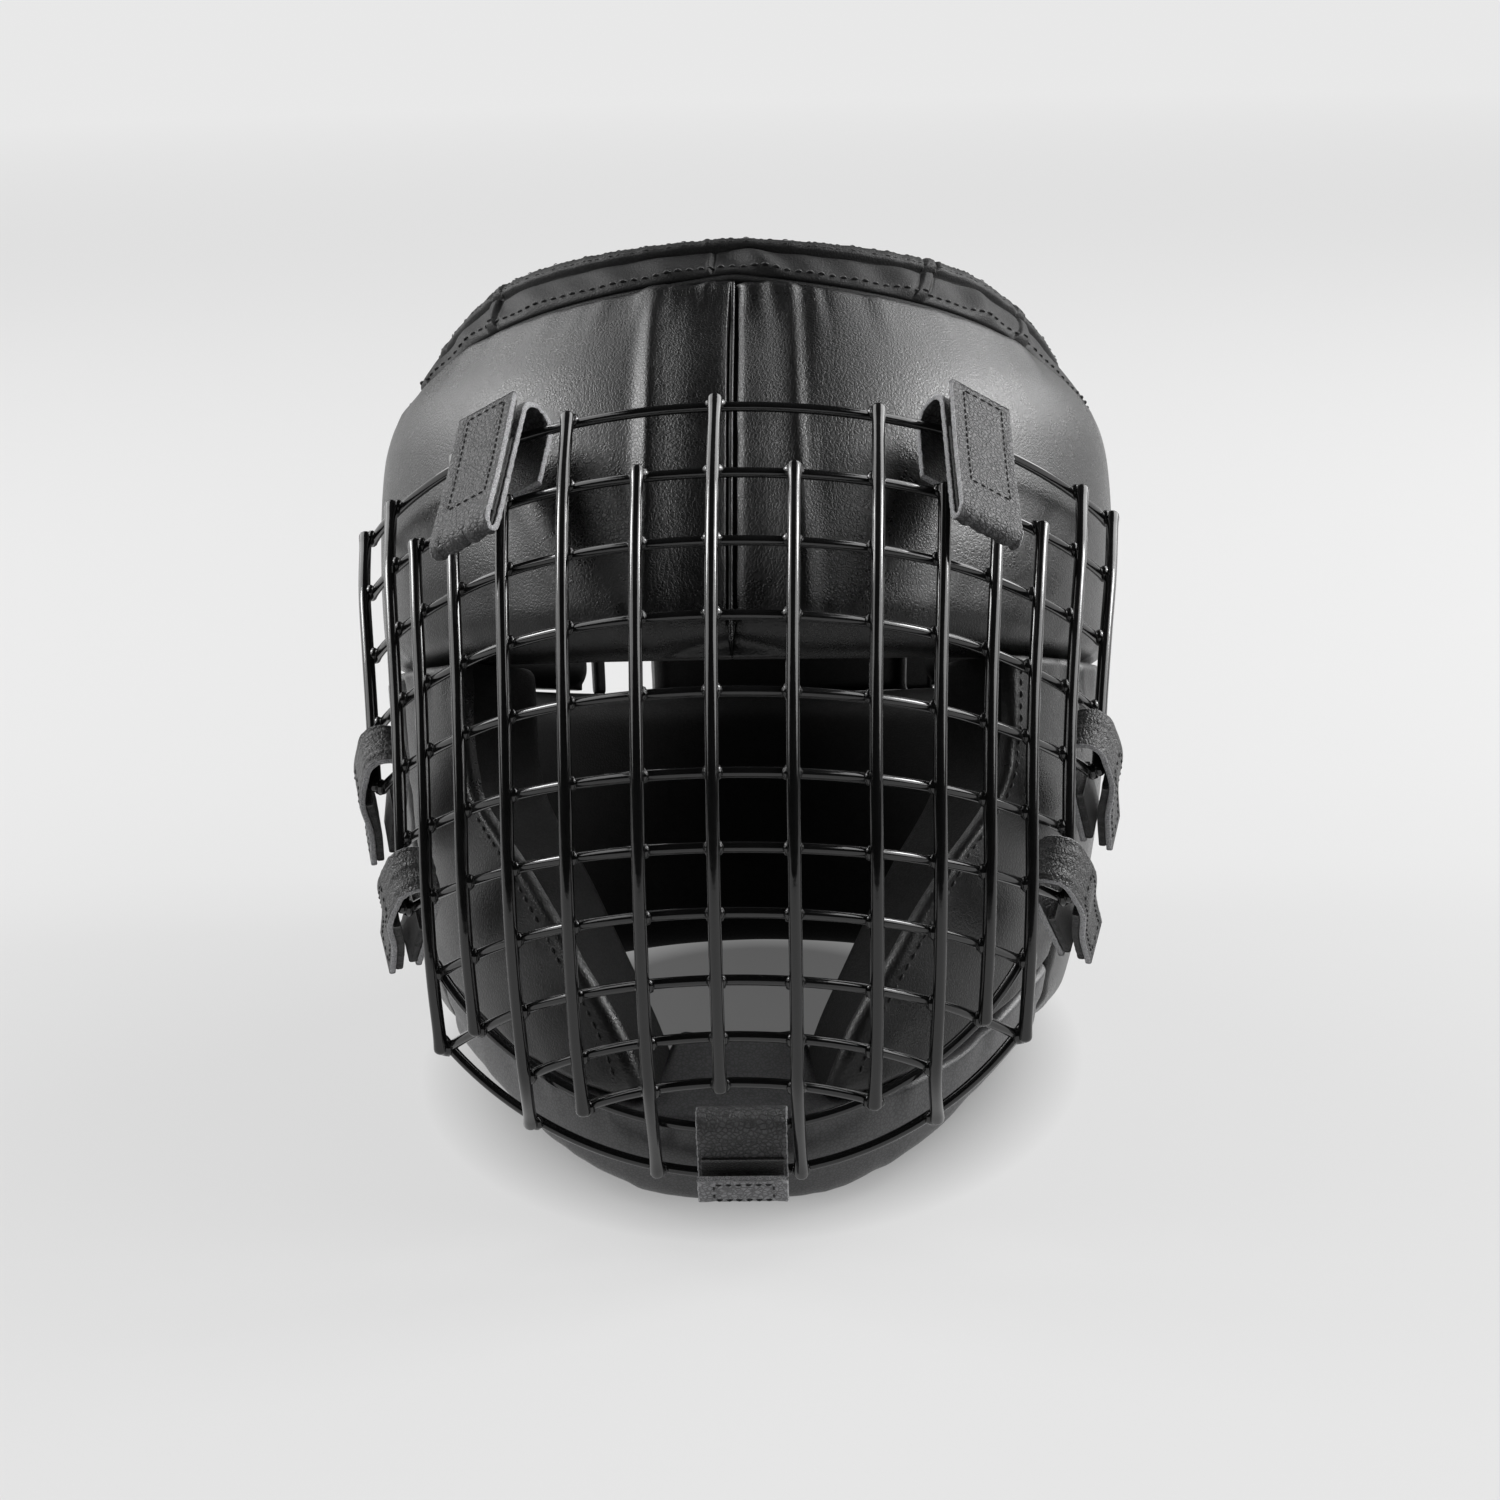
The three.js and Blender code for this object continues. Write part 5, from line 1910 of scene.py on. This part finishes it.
@dataclass
class Effects:
    """Builds each shared effect once, and places it in materials with their own values."""

    groups: dict[Effect, NodeTree] = field(default_factory=dict)

    def place(self, bench: Bench, effect: Effect, **inputs: Value) -> Node:
        """Places an effect in a material.

        Args:
            bench: The material's bench.
            effect: Which effect.
            inputs: Values or sockets for its inputs.

        Returns:
            The group node.
        """
        if effect not in self.groups:
            self.groups[effect] = getattr(self, effect.value)()
        return bench.add("Group", inputs, node_tree=self.groups[effect])

    def marks(self, bench: Bench, place: NodeSocket, size: float) -> NodeSocket:
        """The mask of handling marks of a size in millimetres."""
        return self.place(bench, Effect.HANDLING, Vector=place, Scale=1 / (size * MM)).outputs["Mask"]

    @staticmethod
    def opened(effect: Effect, value: str, outputs: tuple[str, ...]) -> tuple[Bench, Node, Node]:
        """Starts a group with a Vector input and one value input.

        Args:
            effect: The effect that the group is for.
            value: The value input's name.
            outputs: Names of its outputs.

        Returns:
            The group's bench, its input node and its output node.
        """
        tree = bpy.data.node_groups.new(effect.value, "ShaderNodeTree")
        tree.interface.new_socket("Vector", in_out="INPUT", socket_type="NodeSocketVector")
        tree.interface.new_socket(value, in_out="INPUT", socket_type="NodeSocketFloat")
        for name in outputs:
            tree.interface.new_socket(name, in_out="OUTPUT", socket_type="NodeSocketFloat")
        return Bench(tree), tree.nodes.new("NodeGroupInput"), tree.nodes.new("NodeGroupOutput")

    def grain(self) -> NodeTree:
        """Leather grain: cells with soft borders, bent by noise, with finer cells and noise on top.

        Returns:
            The node group.
        """
        bench, given, out = self.opened(Effect.GRAIN, "Scale", ("Height", "Pits"))
        vector, scale = given.outputs["Vector"], given.outputs["Scale"]
        stray = bench.noise(vector, bench.math("MULTIPLY", scale, 0.4), 2.0).outputs[1]
        centred = bench.add("VectorMath", {0: stray, 1: (0.5, 0.5, 0.5)}, operation="SUBTRACT").outputs[0]
        reach = bench.math("DIVIDE", 1.1, scale)
        moved = bench.add("VectorMath", {0: centred, "Scale": reach}, operation="SCALE").outputs[0]
        bent = bench.add("VectorMath", {0: vector, 1: moved}, operation="ADD").outputs[0]
        heights = []
        for times, share in ((1.0, 0.58), (2.3, 0.24)):
            cells = bench.add(
                "TexVoronoi", {"Vector": bent, "Scale": bench.math("MULTIPLY", scale, times)},
                feature="DISTANCE_TO_EDGE",
            )
            heights.append(bench.ranged(cells.outputs["Distance"], 0.0, 0.24, 0.0, share))
        fine = bench.noise(vector, bench.math("MULTIPLY", scale, 3.7), 2.0).outputs[0]
        heights.append(bench.ranged(fine, 0.3, 0.7, 0.0, 0.18))
        total = bench.math("ADD", bench.math("ADD", heights[0], heights[1]), heights[2])
        bench.feed(out, {"Height": total, "Pits": bench.ranged(heights[0], 0.0, 0.4, 1.0, 0.0)})
        return bench.tree

    def handling(self) -> NodeTree:
        """Handling marks: broad soft patches broken up by smaller smears.

        Returns:
            The node group.
        """
        bench, given, out = self.opened(Effect.HANDLING, "Scale", ("Mask",))
        vector, scale = given.outputs["Vector"], given.outputs["Scale"]
        broad = bench.noise(vector, scale, 2.0).outputs[0]
        small = bench.noise(vector, bench.math("MULTIPLY", scale, 6.5), 5.0).outputs[0]
        patches = bench.ranged(broad, 0.32, 0.68, 0.0, 0.62)
        smears = bench.ranged(small, 0.35, 0.7, 0.0, 0.38)
        bench.feed(out, {"Mask": bench.math("ADD", patches, smears)})
        return bench.tree

    def creases(self) -> NodeTree:
        """Fine creases: a net of soft ridges, stronger in some places than in others.

        Returns:
            The node group.
        """
        bench, given, out = self.opened(Effect.CREASES, "Scale", ("Height",))
        vector, scale = given.outputs["Vector"], given.outputs["Scale"]
        ridged = bench.noise(vector, scale, 3.0, noise_type="RIDGED_MULTIFRACTAL").outputs[0]
        where = bench.noise(vector, bench.math("MULTIPLY", scale, 0.31), 1.0).outputs[0]
        ridges = bench.ranged(ridged, 0.5, 2.2, 0.0, 1.0)
        strength = bench.ranged(where, 0.35, 0.65, 0.15, 1.0)
        bench.feed(out, {"Height": bench.math("MULTIPLY", ridges, strength)})
        return bench.tree

    def wear(self) -> NodeTree:
        """Edge wear: how near an edge a place is, broken up by noise.

        Returns:
            The node group.
        """
        bench, given, out = self.opened(Effect.WEAR, "Edge", ("Mask",))
        broken = bench.noise(given.outputs["Vector"], 420.0, 4.0).outputs[0]
        ragged = bench.math("MULTIPLY", given.outputs["Edge"], bench.ranged(broken, 0.3, 0.7, 0.2, 1.0))
        bench.feed(out, {"Mask": ragged})
        return bench.tree


def opened_material(name: str) -> tuple[Material, Bench, Node, NodeSocket]:
    """Starts a material.

    Args:
        name: Its name.

    Returns:
        The material, its bench, its Principled shader and Object coordinates.
    """
    material = bpy.data.materials.new(name)
    material.use_nodes = True
    bench = Bench(material.node_tree)
    shader = material.node_tree.nodes["Principled BSDF"]
    return material, bench, shader, bench.add("TexCoord", {}).outputs["Object"]


@dataclass(frozen=True)
class LeatherFinish:
    """A leather or coated cloth: grain, creases, handling marks, worn edges, grain tops lighter from wear and
    a painted highlight, and painted shade in the grain's pits, in millimetres.
    """

    name: str
    colour: Colour
    worn: Colour
    roughness: float
    cell: float
    depth: float
    crease: float
    crease_depth: float
    spread: float = 0.06
    worn_and_highlit_tops: float = 0.15
    gloss: float = 0.5
    mark_size: float = 42.0
    marked: float = 0.45
    edge_wear: float = 0.5
    top_heights: Pair = (0.55, 0.95)
    painted_pit_shade: float = 0.45
    painted_pit_share: float = 0.7
    pit_roughness: float = 0.08

    def build(self, effects: Effects) -> Material:
        """Makes the material.

        Args:
            effects: The shared effects.

        Returns:
            The material.
        """
        material, bench, shader, place = opened_material(self.name)
        grain = effects.place(bench, Effect.GRAIN, Vector=place, Scale=1 / (self.cell * MM)).outputs
        creases = effects.place(bench, Effect.CREASES, Vector=place, Scale=1 / (self.crease * MM)).outputs
        marks = effects.marks(bench, place, self.mark_size)
        edge = bench.add("Attribute", {}, attribute_name="edge").outputs["Fac"]
        wear = effects.place(bench, Effect.WEAR, Vector=place, Edge=edge).outputs["Mask"]
        folds = bench.bumped(creases["Height"], self.crease_depth)
        # Painted shade: the grain's pits take a darker base colour.
        dark = tuple(self.painted_pit_shade * c for c in self.colour[:3]) + (1.0,)
        # Grain tops mixed toward the worn colour: wear on the high points, partly a painted highlight on
        # them.
        worn_and_highlit_tops = bench.ranged(grain["Height"], *self.top_heights, 0.0, self.worn_and_highlit_tops)
        colour = bench.mixed(bench.math("MULTIPLY", marks, self.marked), self.colour, self.worn)
        colour = bench.mixed(bench.math("MULTIPLY", wear, self.edge_wear), colour, self.worn)
        colour = bench.mixed(worn_and_highlit_tops, colour, self.worn)
        rough = bench.ranged(marks, 0.0, 1.0, self.roughness - self.spread, self.roughness + self.spread)
        pits = bench.math("MULTIPLY", grain["Pits"], self.pit_roughness)
        bench.feed(shader, {
            "Base Color": bench.mixed(bench.math("MULTIPLY", grain["Pits"], self.painted_pit_share), colour, dark),
            "Roughness": bench.math("ADD", rough, pits),
            "Normal": bench.bumped(grain["Height"], self.depth, folds),
            "Specular IOR Level": self.gloss,
        })
        return material


@dataclass(frozen=True)
class FibreFinish:
    """A fibrous finish, such as thread, a raw cut edge or hook-and-loop tape."""

    name: str
    dark: Colour
    light: Colour
    roughness: float
    fibre: float
    depth: float
    sheen: float
    spread: float = 0.08
    mark_size: float = 9.0
    light_fibres: Pair = (0.38, 0.66)

    def build(self, effects: Effects) -> Material:
        """Makes the material.

        Args:
            effects: The shared effects.

        Returns:
            The material.
        """
        material, bench, shader, place = opened_material(self.name)
        fibres = bench.noise(place, 1 / (self.fibre * MM), 4.0).outputs[0]
        marks = effects.marks(bench, place, self.mark_size)
        light = bench.ranged(fibres, *self.light_fibres, 0.0, 1.0)
        share = bench.math("MULTIPLY", light, bench.ranged(marks, 0, 1, 0.5, 1))
        rough = (self.roughness + self.spread, self.roughness - self.spread)
        bench.feed(shader, {
            "Base Color": bench.mixed(share, self.dark, self.light),
            "Roughness": bench.ranged(fibres, 0.3, 0.7, *rough),
            "Normal": bench.bumped(fibres, self.depth),
            "Sheen Weight": self.sheen,
        })
        return material


@dataclass(frozen=True)
class WireFinish:
    """The grille's dipped coating: glossy, a little uneven, with faint rubbing."""

    name: str
    colour: Colour
    rubbed: Colour
    roughness: float
    lump: float
    lump_depth: float
    coat: float
    coat_roughness: float
    gloss: float
    mark_size: float = 26.0
    marked: float = 0.5
    smoother: float = 0.05
    rougher: float = 0.07

    def build(self, effects: Effects) -> Material:
        """Makes the material.

        Args:
            effects: The shared effects.

        Returns:
            The material.
        """
        material, bench, shader, place = opened_material(self.name)
        marks = effects.marks(bench, place, self.mark_size)
        lumps = bench.noise(place, 1 / (self.lump * MM), 2.0).outputs[0]
        rough = (self.roughness - self.smoother, self.roughness + self.rougher)
        bench.feed(shader, {
            "Base Color": bench.mixed(bench.math("MULTIPLY", marks, self.marked), self.colour, self.rubbed),
            "Roughness": bench.ranged(marks, 0.0, 1.0, *rough),
            "Normal": bench.bumped(lumps, self.lump_depth),
            "Specular IOR Level": self.gloss,
            "Coat Weight": self.coat,
            "Coat Roughness": self.coat_roughness,
        })
        return material


@dataclass(frozen=True)
class FloorFinish:
    """The pale floor, which glows a little more far from the part, and glows less under it as a painted
    shadow of the part.
    """

    name: str
    colour: Colour
    near: float
    far: float
    near_glow: float
    far_glow: float
    painted_shadow_glow: float
    painted_shadow_size: Pair
    painted_shadow_fade: Pair = (0.8, 1.3)
    roughness: float = 0.9
    gloss: float = 0.1
    mark_scale: float = 2.0
    mark_shade: float = 0.99

    def build(self, effects: Effects) -> Material:
        """Makes the material.

        Args:
            effects: The shared effects.

        Returns:
            The material.
        """
        material, bench, shader, place = opened_material(self.name)
        away = bench.add("VectorMath", {0: place}, operation="LENGTH").outputs["Value"]
        share = bench.ranged(away, self.near, self.far, 0.0, 1.0)
        under, near, far = ((g, g, g, 1.0) for g in (self.painted_shadow_glow, self.near_glow, self.far_glow))
        # Inside an ellipse round the part the glow falls to the painted shadow glow: a painted shadow under
        # the part, which also darkens the floor seen inside the guard.
        scaled = (1 / self.painted_shadow_size[0], 1 / self.painted_shadow_size[1], 0.0)
        footed = bench.add("VectorMath", {0: place, 1: scaled}, operation="MULTIPLY").outputs[0]
        painted_shadow_reach = bench.add("VectorMath", {0: footed}, operation="LENGTH").outputs["Value"]
        lit = bench.ranged(painted_shadow_reach, *self.painted_shadow_fade, 0.0, 1.0)
        marks = effects.place(bench, Effect.HANDLING, Vector=place, Scale=self.mark_scale).outputs["Mask"]
        faint = tuple(self.mark_shade * c for c in self.colour[:3]) + (1.0,)
        bench.feed(shader, {
            "Base Color": bench.mixed(marks, self.colour, faint),
            "Emission Color": bench.mixed(lit, under, bench.mixed(share, near, far)),
            "Emission Strength": 1.0,
            "Roughness": self.roughness,
            "Specular IOR Level": self.gloss,
        })
        return material


@dataclass(frozen=True)
class SoftLight:
    """A soft light, given by its place, its size, its power and what it looks at."""

    name: str
    place: Point
    size: Pair
    power: float
    aim: Point = (0.0, -0.02, 0.14)

    def build(self) -> None:
        """Adds the light to the scene."""
        data = bpy.data.lights.new(self.name, "AREA")
        data.shape = "RECTANGLE"
        data.size, data.size_y = self.size
        data.energy = self.power
        light = bpy.data.objects.new(self.name, data)
        light.location = self.place
        aim = Vector(self.aim) - Vector(self.place)
        light.rotation_euler = aim.to_track_quat("-Z", "Y").to_euler()
        bpy.context.scene.collection.objects.link(light)


@dataclass(frozen=True)
class Studio:
    """A pale floor, a wide soft light with a bright core on each side, and the camera.

    The lights leave the sky dark. A band of glow near the horizon, behind the part on both sides,
    shows only in reflections, and the camera sees an even backdrop.
    """

    azimuth: float = 2.02
    elevation: float = 16.3
    roll: float = -1.42
    distance: float = 0.826
    target: Point = (0.0040, -0.0737, 0.1166)
    lens: float = 72.0
    sensor: float = 36.0
    floor_half_width: float = 14.0
    fill: float = 0.02
    backdrop: float = 0.79
    horizon: float = 1.45
    horizon_rise: Pair = (0.2, 0.65)
    horizon_fall: Pair = (0.74, 0.9)
    horizon_least: float = 0.1
    horizon_top: Pair = (0.05, 0.4)
    lights: tuple[SoftLight, ...] = (
        SoftLight("left_box", (-1.16, 0.3, 1.0), size=(2.4, 1.3), power=24),
        SoftLight("right_box", (1.16, 0.3, 1.0), size=(2.4, 1.3), power=38),
        SoftLight("left_core", (-1.12, 0.25, 0.97), size=(0.4, 0.4), power=8),
        SoftLight("right_core", (1.12, 0.25, 0.97), size=(0.4, 0.4), power=11),
    )

    def build(self, floor_material: Material) -> None:
        """Sets up floor, world, lights and camera.

        Args:
            floor_material: The floor's finish.
        """
        self.floor().piece("floor", [floor_material])
        world = bpy.data.worlds.new("studio")
        world.use_nodes = True
        bench = Bench(world.node_tree)
        parts = bench.add("SeparateXYZ", {0: bench.add("TexCoord", {}).outputs["Generated"]}).outputs
        rising = bench.ranged(parts["Y"], *self.horizon_rise, 0.0, self.horizon)
        falling = bench.ranged(parts["Y"], *self.horizon_fall, 1.0, self.horizon_least)
        behind = bench.math("MULTIPLY", rising, falling)
        low = bench.ranged(parts["Z"], *self.horizon_top, 1.0, 0.0)
        lit = bench.math("ADD", bench.math("MULTIPLY", behind, low), self.fill)
        seen = bench.add("LightPath", {}).outputs["Is Camera Ray"]
        unseen = bench.math("MULTIPLY", lit, bench.math("SUBTRACT", 1.0, seen))
        strength = bench.math("ADD", unseen, bench.math("MULTIPLY", seen, self.backdrop))
        bench.feed(world.node_tree.nodes["Background"], {"Color": (1, 1, 1, 1), "Strength": strength})
        scene = bpy.context.scene
        scene.world = world
        scene.view_settings.view_transform = "Standard"
        for light in self.lights:
            light.build()
        self.camera()

    def floor(self) -> Shape:
        """The floor: a flat square grid."""
        line = np.linspace(-self.floor_half_width, self.floor_half_width, 9)
        x, y = np.meshgrid(line, line)
        return Shape(np.stack([x, y, 0 * x], -1).reshape(-1, 3), grid_quads(9, 9))

    def camera(self) -> None:
        """Adds the camera: it looks at the target from its azimuth and elevation, rolled a little."""
        a, e, r = np.radians([self.azimuth, self.elevation, self.roll])
        away = np.array([np.sin(a) * np.cos(e), -np.cos(a) * np.cos(e), np.sin(e)])
        right = unit(np.cross(-away, [0.0, 0, 1]))
        up = np.cross(right, -away)
        turned = np.stack([right * np.cos(r) + up * np.sin(r), up * np.cos(r) - right * np.sin(r), away], -1)
        data = bpy.data.cameras.new("camera")
        data.lens, data.sensor_width = self.lens, self.sensor
        data.clip_start, data.clip_end = 0.01, 60
        camera = bpy.data.objects.new("camera", data)
        place = np.array(self.target) + away * self.distance
        camera.matrix_world = Matrix.Translation(Vector(place)) @ Matrix(turned.tolist()).to_4x4()
        bpy.context.scene.collection.objects.link(camera)
        bpy.context.scene.camera = camera


def grey(level: float) -> Colour:
    """A neutral colour with a trace of blue."""
    return (level, level, level * 1.03, 1.0)


LEATHER = LeatherFinish(
    "leather", grey(0.003), grey(0.007), roughness=0.29, cell=1.1, depth=0.07,
    crease=24, crease_depth=0.25, spread=0.05,
)
# The chin bar's leather is many times lighter than the rest: painted light for the bright floor that the chin
# bar reflects.
CHIN_LEATHER_PAINTED_LIGHT = LeatherFinish(
    "chin_leather_painted_light", grey(0.055), grey(0.08), roughness=0.34, cell=1.1, depth=0.04,
    crease=30, crease_depth=0.25, spread=0.05,
)
CROWN_LEATHER = LeatherFinish(
    "crown_leather", grey(0.005), grey(0.012), roughness=0.55, cell=1.0, depth=0.08,
    crease=13, crease_depth=0.4, gloss=0.3,
)
LINING = LeatherFinish(
    "lining", grey(0.002), grey(0.004), roughness=0.65, cell=1.0, depth=0.06,
    crease=15, crease_depth=0.5, worn_and_highlit_tops=0.1, gloss=0.2,
)
STRAP_LEATHER = LeatherFinish(
    "strap_leather", grey(0.022), grey(0.11), roughness=0.42, cell=1.35, depth=0.35,
    crease=9, crease_depth=0.2, worn_and_highlit_tops=0.55,
)
SIDE_LEATHER = LeatherFinish(
    "side_leather", grey(0.006), grey(0.03), roughness=0.36, cell=1.35, depth=0.3,
    crease=9, crease_depth=0.2, worn_and_highlit_tops=0.4,
)
FLAP_LEATHER = LeatherFinish(
    "flap_leather", grey(0.13), grey(0.34), roughness=0.55, cell=1.35, depth=0.3,
    crease=9, crease_depth=0.2, worn_and_highlit_tops=0.5,
)
RAW_EDGE = FibreFinish("raw_edge", grey(0.14), grey(0.55), roughness=0.8, fibre=0.35, depth=0.15, sheen=0.3)
THREAD = FibreFinish("thread", grey(0.006), grey(0.02), roughness=0.6, fibre=0.3, depth=0.06, sheen=0.1)
LOOP_TAPE = FibreFinish(
    "loop_tape", grey(0.004), grey(0.03), roughness=0.85, fibre=0.4, depth=0.4, sheen=0.25,
)
COATING = WireFinish(
    "wire_coating", grey(0.004), grey(0.008), roughness=0.13, lump=3.2, lump_depth=0.04,
    coat=0.2, coat_roughness=0.03, gloss=0.5,
)
FLOOR = FloorFinish(
    "floor", (0.13, 0.13, 0.13, 1.0), near=0.3, far=4.0, near_glow=0.59, far_glow=0.8,
    painted_shadow_glow=0.1, painted_shadow_size=(0.078, 0.108),
)


def main() -> None:
    """Builds the materials, the studio and the pieces in order."""
    logging.basicConfig(level=logging.INFO, format="%(message)s")
    effects = Effects()
    leather, chin, crown, lining, strap, flap, dark, raw, thread, tape, coating, floor = (
        finish.build(effects)
        for finish in (
            LEATHER, CHIN_LEATHER_PAINTED_LIGHT, CROWN_LEATHER, LINING, STRAP_LEATHER, FLAP_LEATHER, SIDE_LEATHER,
            RAW_EDGE, THREAD, LOOP_TAPE, COATING, FLOOR,
        )
    )
    Studio().build(floor)
    for panel in Guard().panels():
        # The chin bar takes the leather lightened with painted floor light.
        panel.build([chin if panel.name == "chin_bar" else leather, lining, thread])
    CrownBand().build([crown, lining, thread])
    GRILLE.build(coating)
    for each in StrapSet().straps():
        each.build([dark if each.name.startswith("side") else strap, raw, thread, tape, flap])


if __name__ == "__main__":
    main()
